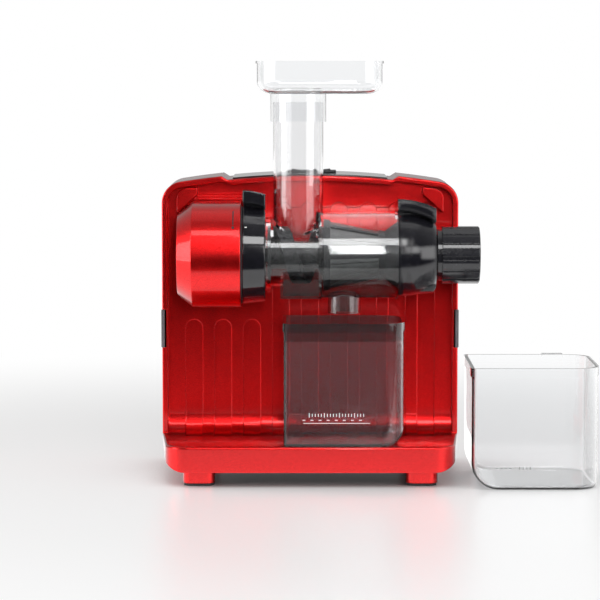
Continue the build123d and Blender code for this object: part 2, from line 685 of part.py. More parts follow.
def bottom_cover():
    """The plate that closes the underside, resting on the shells' floor from inside."""
    inset = COVER_GAP
    plug = block((-FLOOR_HALF_W + inset, FLOOR_HALF_W - inset),
                 (FLOOR_Y[0] + inset, FLOOR_Y[1] - inset),
                 (BASE_BOTTOM_Z, BASE_BOTTOM_Z + SHELL_WALL))
    flange = block((-FLOOR_HALF_W - COVER_FLANGE, FLOOR_HALF_W + COVER_FLANGE),
                   (FLOOR_Y[0] - COVER_FLANGE, FLOOR_Y[1] + COVER_FLANGE),
                   (BASE_BOTTOM_Z + SHELL_WALL, INSIDE_Z))
    room = plan_prism(shelf_plan(SHELL_WALL + COVER_GAP), BASE_BOTTOM_Z, SHELF_Z)
    room = room + block((-SPAN, SPAN), (SEAM_Y, SPAN), (BASE_BOTTOM_Z, SHELF_Z))
    return less(plug + (flange & room), foot_screws(SCREW_HOLE_GAP))


def foot_plan(x, y):
    return Pos(x, y) * RectangleRounded(FOOT_W, FOOT_D, FOOT_CORNER_R)


def foot_blocks():
    """Four blocks under the base."""
    feet = [plan_prism(foot_plan(x, y), FOOT_PAD_H, BASE_BOTTOM_Z) for x, y in foot_places()]
    return [less(foot, foot_screws(SCREW_HOLE_GAP)) for foot in feet]


def foot_pads():
    """Rubber pads let in below the feet."""
    return [plan_prism(offset(foot_plan(x, y), -FOOT_PAD_INSET), 0, FOOT_PAD_H)
            for x, y in foot_places()]


# ---------------------------------------------------------------- pod and drum mount
def pod_form(inset=0.0):
    """The D-shaped pod: a cylinder round the drum axis with a neck straight back to the panel."""
    radius = POD_R - inset
    profile = (Pos(AXIS_Y, AXIS_Z) * Circle(radius)
               + Pos((AXIS_Y + PANEL_Y) / 2, AXIS_Z) * Rectangle(PANEL_Y - AXIS_Y, 2 * radius))
    form = side_prism(profile, POD_X[0] + inset, POD_X[1] - inset)
    end = form.faces().sort_by(Axis.X)[0]
    rim = end.edges().filter_by(lambda e: e.center().Y < PANEL_Y - RIM_EDGE_R)
    return chamfer(rim, POD_CHAMFER[0] - inset / 2, POD_CHAMFER[1] - inset / 2, reference=end)


def motor_pod_cover():
    """The shell of the pod, open at the back and with a hole for the drive socket."""
    hole = rod(POD_X[1] - 2 * POD_WALL, POD_X[1], POD_SHAFT_HOLE_R)
    return less(pod_form(), [pod_form(POD_WALL), hole])


def drum_mount():
    """The fixed spigot that the drum locks onto."""
    flange_x = POD_X[1] + MOUNT_FLANGE_T
    flange = tube(POD_X[1], flange_x, MOUNT_FLANGE_R - TURN_GAP, MOUNT_BORE_R)
    return flange + tube(flange_x, MOUNT_END_X, MOUNT_R, MOUNT_BORE_R)


def bowed(x, radii, steps=6):
    """Points of a line that starts level and bends down ever more, from left to right."""
    share = [i / steps for i in range(steps + 1)]
    return [(x[0] + t * (x[1] - x[0]), radii[0] + t**2 * (radii[1] - radii[0])) for t in share]


def wing(x, top, low, root):
    """A thumb wing: a bar across the top of a ring, bowed from left to right, on a web."""
    crown = [(at, AXIS_Z + rise) for at, rise in bowed(x, top)]
    under = [(at, AXIS_Z + rise) for at, rise in bowed(x, low)]
    sunk = [(at, AXIS_Z + rise - WING_ROOT) for at, rise in root]
    bar = front_prism(outline(*(under + crown[::-1])), AXIS_Y - WING_HALF_D, AXIS_Y + WING_HALF_D)
    bar = fillet(bar.edges().filter_by(Axis.Z), WING_EDGE_R)
    half = WING_WEB_T / 2
    return bar + front_prism(outline(*(sunk + crown[::-1])), AXIS_Y - half, AXIS_Y + half)


def locking_ring():
    """The turning ring that clamps the drum's flange to the mount."""
    bore = MOUNT_R + TURN_GAP
    ring = turned((RING_X[0], bore), (RING_LIP_X, bore), (RING_LIP_X, RING_LIP_R),
                  (RING_X[1], RING_LIP_R), (RING_X[1], RING_R[1]), (RING_X[0], RING_R[0]))
    root = list(zip(RING_X, RING_R))
    return ring + wing(RING_X, RING_WING_TOP, RING_WING_LOW, root)


# ---------------------------------------------------------------- drum
def drum():
    """The clear pressing drum: feed tube and chute, barrel, juice trough and nozzle."""
    flange_r = MOUNT_R - TURN_GAP
    trough_y = (AXIS_Y - TROUGH_HALF_W, AXIS_Y + TROUGH_HALF_W)
    body = total([
        rod(DRUM_FLANGE_X[0], DRUM_FLANGE_X[1], flange_r),
        rod(DRUM_FLANGE_X[1], BARREL_X[0], TUBE_R),
        rod(*COLLAR_X, COLLAR_R),
        rod(*BARREL_X, BARREL_R),
        rod(BARREL_X[1], SPIGOT_X, SPIGOT_R),
        block(TROUGH_X, trough_y, (TROUGH_BOTTOM_Z, AXIS_Z)),
        upright(NOZZLE_XC, AXIS_Y, NOZZLE_R, NOZZLE_BOTTOM_Z, AXIS_Z),
        upright(CHUTE_XC, AXIS_Y, CHUTE_R, AXIS_Z, CHUTE_TOP_Z),
    ])
    body = body + saddle(0.0)
    for x in (BARREL_X[0], BARREL_X[1] - BARREL_RIB_W):
        body = body + rod(x, x + BARREL_RIB_W, BARREL_R + BARREL_RIB_H)
    inner_x = BARREL_X[0] + BARREL_END_WALL
    wall = DRUM_WALL
    hollow = total([
        rod(DRUM_FLANGE_X[0], inner_x, TUBE_BORE_R),
        rod(inner_x, BARREL_X[1] - BARREL_END_WALL, BARREL_BORE_R),
        rod(BARREL_X[1] - BARREL_END_WALL, SPIGOT_X, MOUTH_R),
        block((TROUGH_X[0] + wall, inner_x), (trough_y[0] + wall, trough_y[1] - wall),
              (TROUGH_BOTTOM_Z + wall, AXIS_Z)),
        upright(NOZZLE_XC, AXIS_Y, NOZZLE_BORE_R, NOZZLE_BOTTOM_Z, AXIS_Z),
        upright(CHUTE_XC, AXIS_Y, CHUTE_BORE_R, AXIS_Z, CHUTE_TOP_Z),
        saddle(wall),
    ])
    return body - hollow


def saddle(inset):
    """The throat between tube and chute, with a dished top; inset gives the space inside it."""
    form = block((SADDLE_X[0] + inset, SADDLE_X[1] - inset),
                 (AXIS_Y - SADDLE_HALF_W + inset, AXIS_Y + SADDLE_HALF_W - inset),
                 (AXIS_Z, SADDLE_TOP_Z - inset))
    dip = Pos(CHUTE_XC, SADDLE_DIP_Z) * Circle(SADDLE_DIP_R + inset)
    return form - front_prism(dip, AXIS_Y - SADDLE_HALF_W, AXIS_Y + SADDLE_HALF_W)


def screen_radius(x, lift=0.0):
    """Radius of the screen's cone at a place along the axis."""
    share = (x - SCREEN_X[0]) / (SCREEN_X[1] - SCREEN_X[0])
    return SCREEN_R[0] + share * (SCREEN_R[1] - SCREEN_R[0]) + lift


def cone_band(x0, x1, low, high, arc=360.0, start=0.0):
    """A band along the screen's cone, between two heights above its outer face."""
    return turned((x0, screen_radius(x0, low)), (x1, screen_radius(x1, low)),
                  (x1, screen_radius(x1, high)), (x0, screen_radius(x0, high)),
                  arc=arc, start=start)


def juice_screen():
    """The metal cone that the juice is pressed through, with a slot between each pair of ribs."""
    cone = cone_band(*SCREEN_X, -SCREEN_T, 0.0)
    margin = SCREEN_RING_W + SCREEN_SLOT_W
    arc = degrees(SCREEN_SLOT_W / SCREEN_R[0])
    slots = [cone_band(SCREEN_X[0] + margin, SCREEN_X[1] - margin, -2 * SCREEN_T, SCREEN_T,
                       arc=arc, start=(i + 0.5) * 360 / SCREEN_SLOTS)
             for i in range(SCREEN_SLOTS)]
    return less(cone, slots)


def screen_frame():
    """The plastic basket round the screen: a ring at each end and ribs between them."""
    x0, x1 = SCREEN_X
    left = cone_band(x0, x0 + SCREEN_RING_W, 0.0, SCREEN_RIB_H)
    right = cone_band(x1 - SCREEN_RING_W, x1, 0.0, SCREEN_RIB_H)
    ribs = [cone_band(x0 + SCREEN_RING_W / 2, x1 - SCREEN_RING_W / 2, SCREEN_RIB_SINK,
                      SCREEN_RIB_H - SCREEN_RIB_SINK, arc=SCREEN_RIB_ARC,
                      start=i * 360 / SCREEN_RIBS - SCREEN_RIB_ARC / 2)
            for i in range(SCREEN_RIBS)]
    outer = MOUTH_R - TURN_GAP
    seat_x = SPIGOT_X - TURN_GAP
    throat = screen_radius(x1)
    bend_x = seat_x - SCREEN_RING_W
    funnel = turned((x1, throat), (x1 + FUNNEL_WALL, throat), (bend_x, outer - FUNNEL_WALL),
                    (seat_x, outer - FUNNEL_WALL), (seat_x, outer), (bend_x, outer),
                    (x1, throat + SCREEN_RIB_H))
    return total([left, right, funnel] + ribs)


# ---------------------------------------------------------------- auger
def sector(inner, outer, arc):
    """Part of a ring about the origin, drawn in y and z."""
    half = radians(arc / 2)
    reach = 2 * outer
    wedge = outline((0, 0), (reach * cos(half), -reach * sin(half)), (2 * reach, 0),
                    (reach * cos(half), reach * sin(half)))
    return (Circle(outer) - Circle(inner)) & wedge


def twisted(shape, x0, x1, angle, start=0.0):
    """A flat shape swept along X while it turns through an angle about the drum axis."""
    face = (Plane.YZ.offset(x0) * shape).faces()[0]
    swept = Solid.extrude_linear_with_rotation(face, center=(x0, 0, 0),
                                               normal=(x1 - x0, 0, 0), angle=angle)
    return Pos(0, AXIS_Y, AXIS_Z) * Rot(start, 0, 0) * swept


def auger():
    """The pressing screw: hex shank, disc, deep feed flight and a ridged cone."""
    shank_x = SOCKET_X[1] - HEX_DEPTH + HEX_GAP
    shank = drive_hex(shank_x, AUGER_X[0], HEX_AF - 2 * HEX_GAP)
    disc_x = AUGER_X[0] + AUGER_DISC_T
    cone_x = AUGER_CONE_X
    tip = [screen_radius(x, -SCREEN_T - AUGER_GAP) for x in cone_x]
    core = turned((AUGER_X[0], 0), (AUGER_X[0], AUGER_R), (disc_x, AUGER_R),
                  (disc_x, AUGER_CORE_R), (cone_x[0] - 2 * RIDGE_H, AUGER_CORE_R),
                  (cone_x[0] - END_FLOAT, AUGER_R - RIDGE_H), (cone_x[0], tip[0] - RIDGE_H),
                  (cone_x[1], tip[1] - RIDGE_H), (AUGER_X[1], NOSE_R), (AUGER_X[1], 0))
    turns = (cone_x[0] - disc_x) / FLIGHT_PITCH
    feed = twisted(sector(AUGER_CORE_R - RIDGE_H, AUGER_R, FLIGHT_ARC), disc_x - AUGER_DISC_T / 2,
                   cone_x[0] - END_FLOAT, 360 * turns)
    envelope = turned((cone_x[0], NOSE_R), (cone_x[0], tip[0]), (cone_x[1], tip[1]),
                      (cone_x[1], NOSE_R))
    blade = sector(NOSE_R, tip[0] + RIDGE_H, RIDGE_ARC)
    screw = total([core, shank, feed])
    for i in range(RIDGE_COUNT):
        screw = screw + (twisted(blade, *cone_x, RIDGE_TWIST, i * 360 / RIDGE_COUNT) & envelope)
    return screw


def drive_hex(x0, x1, across):
    hexagon = RegularPolygon(across / 2, 6, major_radius=False)
    return side_prism(Pos(AXIS_Y, AXIS_Z) * hexagon, x0, x1)


# ---------------------------------------------------------------- end cap and outlet knob
def end_cap():
    """The bayonet cap of the drum, with a thumb wing, a grip lug and the pulp outlet tube."""
    x0, x1 = CAP_X
    wall = CAP_WALL
    crown = [(x0, CAP_R)] + bowed((CAP_STRAIGHT_X, x1), (CAP_R, CAP_END_R))
    outer = turned((x0, 0), *crown, (x1, 0)) + rod(x1, OUTLET_TUBE_X, OUTLET_TUBE_R)
    lug = turned((CAP_LUG_X[0], CAP_END_R), (CAP_LUG_X[1], CAP_END_R - wall),
                 (CAP_LUG_X[1], CAP_LUG_R - 2 * wall), (CAP_LUG_X[1] - wall, CAP_LUG_R - wall / 2),
                 (CAP_LUG_X[0] + wall, CAP_LUG_R), (CAP_LUG_X[0], CAP_LUG_R - wall),
                 arc=CAP_LUG_ARC, start=UP + 180 - CAP_LUG_ARC / 2)
    socket = rod(x0, SPIGOT_X + TURN_GAP, SPIGOT_R + TURN_GAP)
    funnel_x = SPIGOT_X + TURN_GAP
    funnel = turned((funnel_x, 0), (funnel_x, CAP_R - 3 * wall),
                    (x1 - 4 * wall, CAP_END_R - 3 * wall), (x1 - wall, OUTLET_R), (x1 - wall, 0))
    bore = rod(x1 - wall, OUTLET_TUBE_X, OUTLET_R)
    handle = wing(CAP_X, CAP_WING_TOP, CAP_WING_LOW, crown)
    return less(outer + handle + lug, [socket, funnel, bore])


def outlet_knob():
    """The ribbed knob on the outlet tube, turned to set how hard the pulp is pressed."""
    bore = OUTLET_TUBE_R + TURN_GAP
    x0, x1 = KNOB_X
    neck_x = x0 + KNOB_NECK_L
    lip_x = x1 - KNOB_LIP_T
    knob = turned((x0, bore), (x0, KNOB_NECK_R), (neck_x, KNOB_NECK_R), (neck_x, KNOB_R),
                  (x1 - KNOB_EDGE, KNOB_R), (x1, KNOB_R - KNOB_EDGE), (x1, OUTLET_R),
                  (lip_x, OUTLET_R), (lip_x, bore))
    pitch = 360 / KNOB_RIBS
    low = KNOB_R - KNOB_RIB_DEPTH
    high = KNOB_R + KNOB_RIB_DEPTH
    grooves = [turned((neck_x, low), (x1, low), (x1, high), (neck_x, high),
                      arc=pitch * KNOB_GROOVE_SHARE, start=i * pitch)
               for i in range(KNOB_RIBS)]
    return less(knob, grooves)


# ---------------------------------------------------------------- hopper tray
def hopper_tray():
    """The clear feeding tray, with a collar that drops over the chute."""
    centre = ((TRAY_X[0] + TRAY_X[1]) / 2, AXIS_Y)
    width = TRAY_X[1] - TRAY_X[0]

    def form(inset, z0, z1):
        plan = Pos(*centre) * RectangleRounded(width - 2 * inset, TRAY_DEPTH - 2 * inset,
                                               TRAY_CORNER_R - inset)
        solid = plan_prism(plan, z0, z1)
        return fillet(solid.faces().sort_by(Axis.Z)[0].edges(), TRAY_BOTTOM_R - inset)

    lip = plan_prism(Pos(*centre) * RectangleRounded(width, TRAY_DEPTH, TRAY_CORNER_R),
                     TRAY_Z[1] - 2 * TRAY_LIP, TRAY_Z[1])
    shell = form(TRAY_LIP, *TRAY_Z) + lip
    shell = shell + upright(CHUTE_XC, AXIS_Y, COLLAR_TUBE_R, COLLAR_TUBE_BOTTOM_Z,
                            TRAY_Z[0] + TRAY_WALL)
    hollow = form(TRAY_LIP + TRAY_WALL, TRAY_Z[0] + TRAY_WALL, TRAY_Z[1])
    ledge_z = CHUTE_TOP_Z + LATCH_GAP
    socket = upright(CHUTE_XC, AXIS_Y, CHUTE_R + TURN_GAP, COLLAR_TUBE_BOTTOM_Z, ledge_z)
    throat = upright(CHUTE_XC, AXIS_Y, CHUTE_BORE_R, COLLAR_TUBE_BOTTOM_Z, TRAY_Z[1])
    return less(shell, [hollow, socket, throat])


# ---------------------------------------------------------------- containers
def bin_front(x0, x1, z0, z1, left_r, right_r):
    """A bin as seen from the front; each round bottom corner meets its side at a faint crease."""
    reach = cos(radians(FLOOR_CREASE))
    sweep = 90 - FLOOR_CREASE
    left = CenterArc((x0 + left_r * reach, z0 + left_r), left_r, 180 + FLOOR_CREASE, sweep)
    right = CenterArc((x1 - right_r * reach, z0 + right_r), right_r, 270, sweep)
    sides = Polyline(right @ 1, (x1, z1), (x0, z1), left @ 0)
    return make_face(left + Line(left @ 1, right @ 0) + right + sides)


def bin_block(x, y, z, square_r, corner_r, inset=0.0):
    """A bin's block: corners of square_r on the left, or sharp for none, and round on the right."""
    x0, x1 = x[0] + inset, x[1] - inset
    y0, y1 = y[0] + inset, y[1] - inset
    plan = outline((x0, y0), (x1, y0), (x1, y1), (x0, y1))
    if square_r:
        plan = fillet(plan.vertices().group_by(Axis.X)[0], max(square_r - inset, INNER_CORNER_R))
    plan = fillet(plan.vertices().group_by(Axis.X)[-1], corner_r - inset)
    return plan_prism(plan, *z)


def container(body, band, wall, tabs=()):
    """An open bin: body gives its form at an inset, and tabs join it before it is hollowed."""
    shell = body(RIM_BAND_T) + band
    for tab in tabs:
        shell = shell + tab
    return shell - body(RIM_BAND_T + wall)


def juice_container():
    """The smoked container under the nozzle, standing on the shelf."""
    low_z = SHELF_Z - RIM_BAND_T
    top_z = SHELF_Z + JUICE_H

    def body(inset):
        low_r = [max(radius - inset, INNER_CORNER_R) for radius in JUICE_BOTTOM_R]
        front = bin_front(JUICE_X[0] + inset, JUICE_X[1] - inset, low_z + inset, top_z, *low_r)
        solid = bin_block(JUICE_X, JUICE_Y, (low_z + inset, top_z), JUICE_SQUARE_R,
                          JUICE_CORNER_R, inset)
        return solid & front_prism(front, *JUICE_Y)

    band = bin_block(JUICE_X, JUICE_Y, (top_z - RIM_BAND_H, top_z), JUICE_SQUARE_R, JUICE_CORNER_R)
    return container(body, band, JUICE_WALL)


def pulp_container():
    """The clear pulp container, standing on the counter beside the body."""
    def body(inset):
        solid = bin_block(PULP_X, PULP_Y, (inset - RIM_BAND_T, PULP_H), None, PULP_CORNER_R, inset)
        across = solid.edges().filter_by(Axis.Y).group_by(Axis.X)[0]
        solid = fillet(across.sort_by(Axis.Z)[0], PULP_FLOOR_R - inset)
        upright_edge = solid.edges().filter_by(Axis.Z).group_by(Axis.X)[0][0]
        return fillet(upright_edge, max(PULP_SQUARE_R - inset, INNER_CORNER_R))

    band = bin_block(PULP_X, PULP_Y, (PULP_H - RIM_BAND_H, PULP_H), PULP_SQUARE_R, PULP_CORNER_R)
    tab_x = PULP_X[1] - PULP_CORNER_R
    tab = block((tab_x - PULP_TAB[0], tab_x), (PULP_Y[1] - RIM_BAND_T, PULP_Y[1] + PULP_TAB[1]),
                (PULP_H - PULP_TAB[2], PULP_H))
    return container(body, band, PULP_WALL, [tab])


# ---------------------------------------------------------------- gears
def gear_face(module, teeth, phase):
    """A spur gear drawn about the origin, with a tooth centred on the phase angle."""
    pitch_r = module * teeth / 2
    tip_r = pitch_r + TOOTH_ADDENDUM * module
    root_r = pitch_r - TOOTH_DEDENDUM * module
    tip_half = (TOOTH_HALF - TOOTH_ADDENDUM * TOOTH_SLOPE) * module / tip_r
    root_half = (TOOTH_HALF + TOOTH_DEDENDUM * TOOTH_SLOPE) * module / root_r
    points = []
    for i in range(teeth):
        middle = radians(phase) + 2 * pi * i / teeth
        for angle, radius in ((-root_half, root_r), (-tip_half, tip_r),
                              (tip_half, tip_r), (root_half, root_r)):
            points.append((radius * cos(middle + angle), radius * sin(middle + angle)))
    return outline(*points)


def gear(module, teeth, phase, x, bore, y, z):
    face = gear_face(module, teeth, phase) - Circle(bore)
    return side_prism(Pos(y, z) * face, *x)


def output_gear():
    return gear(OUT_MODULE, OUT_TEETH, 0, OUT_GEAR_X, SHAFT_R, AXIS_Y, AXIS_Z)


def counter_pinion():
    """The small gear of the countershaft, cut on the hub that carries the large one."""
    hub = tube(CASE_X[0] + CASE_WALL + END_FLOAT, CASE_X[1] - END_FLOAT, COUNTER_HUB_R,
               COUNTER_PIN_R + RUN_CLEARANCE, COUNTER_Y, AXIS_Z)
    x = (OUT_GEAR_X[0] - PINION_EXTRA, OUT_GEAR_X[1] + PINION_EXTRA)
    return hub + gear(OUT_MODULE, OUT_PINION_TEETH, 0, x, COUNTER_PIN_R + RUN_CLEARANCE,
                      COUNTER_Y, AXIS_Z)


def counter_gear():
    return gear(FIRST_MODULE, FIRST_TEETH, MOTOR_ANGLE, FIRST_GEAR_X, COUNTER_HUB_R,
                COUNTER_Y, AXIS_Z)


def motor_pinion():
    phase = MOTOR_ANGLE + 180 - 180 / FIRST_PINION_TEETH
    x = (FIRST_GEAR_X[0] - PINION_EXTRA, FIRST_GEAR_X[1] + PINION_EXTRA)
    return gear(FIRST_MODULE, FIRST_PINION_TEETH, phase, x, MOTOR_SHAFT_R, MOTOR_Y, MOTOR_Z)


def counter_pin():
    return rod(CASE_X[0], CASE_COVER_X[1], COUNTER_PIN_R, COUNTER_Y, AXIS_Z)


def output_shaft():
    """Gear shaft with the hexagonal drive socket at its right end."""
    left, right = bearing_places()
    shaft = total([
        rod(left, SOCKET_X[0], SHAFT_R),
        rod(OUT_GEAR_X[1], right - SHAFT_END_GAP, SHAFT_SHOULDER_R),
        rod(*SOCKET_X, SOCKET_R),
    ])
    return shaft - drive_hex(SOCKET_X[1] - HEX_DEPTH, SOCKET_X[1], HEX_AF)


def bearing_places():
    """Left end of each output bearing."""
    return (CASE_X[0] + CASE_WALL - BEARING_W - BEARING_SEAT[0],
            CASE_COVER_X[1] - BEARING_W - BEARING_SEAT[1])


def output_bearings():
    """Two ball bearings, each closed by its shields."""
    rings = []
    for x in bearing_places():
        ring = tube(x, x + BEARING_W, BEARING_R, SHAFT_R + RUN_CLEARANCE)
        recess = tube(x, x + SHIELD_T, BEARING_R - SHIELD_W, SHAFT_R + SHIELD_W)
        rings.append(less(ring, [recess, Pos(BEARING_W - SHIELD_T, 0, 0) * recess]))
    return rings


def output_seal():
    return tube(POD_X[1] - POD_WALL, POD_X[1], POD_SHAFT_HOLE_R, SOCKET_R + TURN_GAP)


def case_radius(module, teeth, grow):
    """Radius of the case about a gear, with room for the tips of its teeth."""
    return module * (teeth / 2 + TOOTH_ADDENDUM) + GEAR_TIP_GAP + grow


def case_outline(grow):
    """The gearbox from the side, round each of its three gears."""
    return (Pos(AXIS_Y, AXIS_Z) * Circle(case_radius(OUT_MODULE, OUT_TEETH, grow))
            + Pos(COUNTER_Y, AXIS_Z) * Circle(case_radius(FIRST_MODULE, FIRST_TEETH, grow))
            + Pos(MOTOR_Y, MOTOR_Z)
            * Circle(case_radius(FIRST_MODULE, FIRST_PINION_TEETH, grow)))


def gearbox_case():
    """The left-hand half of the gearbox, with its bearing boss and mounting lugs."""
    x0, x1 = CASE_X
    body = side_prism(case_outline(CASE_WALL), x0, x1)
    for side in (-1, 1):
        z = sorted((AXIS_Z + side * LUG_ROOT, AXIS_Z + side * (LUG_OUT + LUG_END)))
        x = lug_places()[0][0]
        body = body + block((x - LUG_HALF_W, x + LUG_HALF_W), (SEAM_Y, SEAM_Y + CASE_WALL), z)
    boss_x = bearing_places()[0] - BEARING_STOP[0]
    body = body + rod(boss_x, x0 + CASE_WALL, BEARING_BOSS_R)
    body = body - side_prism(case_outline(0), x0 + CASE_WALL, x1)
    body = body - rod(bearing_places()[0], x0 + CASE_WALL, BEARING_R)
    body = body - rod(x0, x0 + CASE_WALL, COUNTER_PIN_R, COUNTER_Y, AXIS_Z)
    return less(body, gearbox_screws(SCREW_HOLE_GAP))


def gearbox_cover():
    """The right-hand plate of the gearbox, which also carries the motor."""
    x0, x1 = CASE_COVER_X
    plate = side_prism(case_outline(CASE_WALL), x0, x1)
    plate = plate + rod(x0, x1, MOTOR_R, MOTOR_Y, MOTOR_Z)
    plate = total([plate] + [rod(x0, x1, MOTOR_LUG_R, y, z) for y, z in motor_bolt_places()])
    boss_x = bearing_places()[1] - BEARING_STOP[1]
    plate = plate + rod(boss_x, x1, BEARING_BOSS_R)
    cuts = [rod(boss_x, x1, BEARING_R), rod(x0, x1, COUNTER_PIN_R, COUNTER_Y, AXIS_Z),
            rod(x0, x1, MOTOR_BUSH_R, MOTOR_Y, MOTOR_Z)]
    return less(plate, cuts + motor_bolts(SCREW_HOLE_GAP))


# ---------------------------------------------------------------- motor
def motor_bolt_places():
    angles = [2 * pi * (i + 0.5) / MOTOR_BOLT_COUNT for i in range(MOTOR_BOLT_COUNT)]
    return [(MOTOR_Y + MOTOR_BOLT_AT * cos(angle), MOTOR_Z + MOTOR_BOLT_AT * sin(angle))
            for angle in angles]


def motor_bolts(grow=0.0):
    """Four long bolts through the motor into the gearbox cover."""
    bolts = []
    for y, z in motor_bolt_places():
        shank = rod(CASE_COVER_X[0], BELL_END_X, SCREW_R + grow, y, z)
        head = rod(BELL_END_X, BELL_END_X + SCREW_HEAD_H, SCREW_HEAD_R + grow, y, z)
        bolts.append(shank + head)
    return bolts


def motor_lugs(x0, x1):
    return [rod(x0, x1, MOTOR_LUG_R, y, z) for y, z in motor_bolt_places()]


def end_bell(x_end, x_open):
    """One end of the motor: a cup with a boss for its bush, open towards the stator."""
    way = 1 if x_open > x_end else -1
    low, high = sorted((x_end, x_open))
    cavity = sorted((x_end + way * BELL_T, x_open))
    boss = sorted((x_end, x_end + way * MOTOR_BUSH_L))
    inside = (rod(*cavity, MOTOR_R - MOTOR_WALL, MOTOR_Y, MOTOR_Z)
              - rod(*boss, MOTOR_BUSH_R + MOTOR_BUSH_WALL, MOTOR_Y, MOTOR_Z))
    cup = total([rod(low, high, MOTOR_R, MOTOR_Y, MOTOR_Z)] + motor_lugs(low, high))
    cup = less(cup, [inside, rod(low, high, MOTOR_BUSH_R, MOTOR_Y, MOTOR_Z)])
    return less(cup, motor_bolts(SCREW_HOLE_GAP))


def motor_end_bells():
    return [end_bell(CASE_COVER_X[1], STATOR_X[0]), end_bell(BELL_END_X, STATOR_X[1])]


def motor_bushes():
    """Bronze bushes that the rotor turns in."""
    places = ((CASE_COVER_X[1], CASE_COVER_X[1] + MOTOR_BUSH_L),
              (BELL_END_X - MOTOR_BUSH_L, BELL_END_X))
    return [tube(*x, MOTOR_BUSH_R, MOTOR_SHAFT_R + RUN_CLEARANCE, MOTOR_Y, MOTOR_Z)
            for x in places]


def stator_core():
    core = tube(*STATOR_X, MOTOR_R, STATOR_BORE_R, MOTOR_Y, MOTOR_Z)
    core = total([core] + motor_lugs(*STATOR_X))
    core = core - rod(*STATOR_X, STATOR_BORE_R, MOTOR_Y, MOTOR_Z)
    return less(core, motor_bolts(SCREW_HOLE_GAP))


def stator_windings():
    """The rounded end turns of the copper windings, one ring at each end of the core."""
    ends = ((STATOR_X[0] - WINDING_L, STATOR_X[0]), (STATOR_X[1], STATOR_X[1] + WINDING_L))
    coils = []
    for x, outer_face in zip(ends, (0, -1)):
        ring = tube(*x, MOTOR_R - MOTOR_WALL - WINDING_GAP[1], STATOR_BORE_R + WINDING_GAP[0],
                    MOTOR_Y, MOTOR_Z)
        face = ring.faces().sort_by(Axis.X)[outer_face]
        coils.append(fillet(face.edges(), WINDING_EDGE_R))
    return coils


def rotor_core():
    return tube(*STATOR_X, ROTOR_R, MOTOR_SHAFT_R, MOTOR_Y, MOTOR_Z)


def rotor_shaft():
    return rod(*MOTOR_SHAFT_X, MOTOR_SHAFT_R, MOTOR_Y, MOTOR_Z)


def cooling_fan():
    """A radial fan pressed onto the motor shaft."""
    hub = tube(*FAN_X, FAN_HUB_R, MOTOR_SHAFT_R, MOTOR_Y, MOTOR_Z)
    plate = tube(FAN_X[0], FAN_X[0] + FAN_BLADE_T, FAN_R, MOTOR_SHAFT_R, MOTOR_Y, MOTOR_Z)
    blade = block(FAN_X, (-FAN_BLADE_T / 2, FAN_BLADE_T / 2), (FAN_HUB_R - FAN_ROOT, FAN_R))
    blades = [Pos(0, MOTOR_Y, MOTOR_Z) * Rot(360 * i / FAN_BLADES, 0, 0) * blade
              for i in range(FAN_BLADES)]
    return total([hub, plate] + blades)


# ---------------------------------------------------------------- top trim and switch
def switch_hole():
    """The hole through the top for the body of the rocker switch."""
    half_x = SWITCH_HALF[0] + SWITCH_WALL
    half_y = SWITCH_HALF[1] + SWITCH_WALL
    return block((-half_x, half_x), (SWITCH_YC - half_y, SWITCH_YC + half_y),
                 (BODY_CROWN_Z - TOP_DIP - SWITCH_DEPTH, BODY_CROWN_Z + TOP_DIP))


def top_trim():
    """The dark strip in the dip along the top."""
    arch = Pos(0, ARCH_ZC) * Circle(DIP_R + TRIM_T)
    low = BODY_CROWN_Z - 4 * TOP_DIP
    band = outline((-TRIM_HALF_W, low), (TRIM_HALF_W, low), (TRIM_HALF_W, BODY_CROWN_Z),
                   (-TRIM_HALF_W, BODY_CROWN_Z))
    strip = (band & arch) - Pos(0, ARCH_ZC) * Circle(DIP_R)
    return front_prism(strip, *TRIM_Y) - switch_hole()


def switch_housing():
    """The body of the switch, let into the top, with a flange over the trim."""
    half_x = SWITCH_HALF[0] + SWITCH_WALL
    half_y = SWITCH_HALF[1] + SWITCH_WALL
    gap = COVER_GAP
    y = (SWITCH_YC - half_y + gap, SWITCH_YC + half_y - gap)
    low = TRIM_TOP_Z - SWITCH_DEPTH + TOP_DIP
    body = block((-half_x + gap, half_x - gap), y, (low, TRIM_TOP_Z))
    flange = block((-half_x - SWITCH_FLANGE, half_x + SWITCH_FLANGE),
                   (SWITCH_YC - half_y - SWITCH_FLANGE, SWITCH_YC + half_y + SWITCH_FLANGE),
                   (TRIM_TOP_Z, TRIM_TOP_Z + SWITCH_FLANGE_T))
    flange = fillet(flange.edges().filter_by(Axis.Z), SWITCH_FLANGE)
    well = block((-SWITCH_HALF[0], SWITCH_HALF[0]),
                 (SWITCH_YC - SWITCH_HALF[1], SWITCH_YC + SWITCH_HALF[1]),
                 (low + SWITCH_WALL, TRIM_TOP_Z + SWITCH_FLANGE_T))
    reach = SWITCH_HALF[1] - ROCKER_GAP + PIVOT_REACH + END_FLOAT
    return less(body + flange, [well, rocker_pivot(PIVOT_R + RUN_CLEARANCE, reach)])


def power_rocker():
    """The rocker, with a dished face; it tips left or right about its pivot."""
    half_x = SWITCH_HALF[0] - ROCKER_GAP
    half_y = SWITCH_HALF[1] - ROCKER_GAP
    top = TRIM_TOP_Z + ROCKER_PROUD
    low = TRIM_TOP_Z - ROCKER_BELOW
    face = outline((-half_x, top), (-half_x, low + ROCKER_KEEL), (0, low),
                   (half_x, low + ROCKER_KEEL), (half_x, top), (0, top - ROCKER_DISH))
    rocker = front_prism(face, SWITCH_YC - half_y, SWITCH_YC + half_y)
    return rocker + rocker_pivot(PIVOT_R, half_y + PIVOT_REACH)


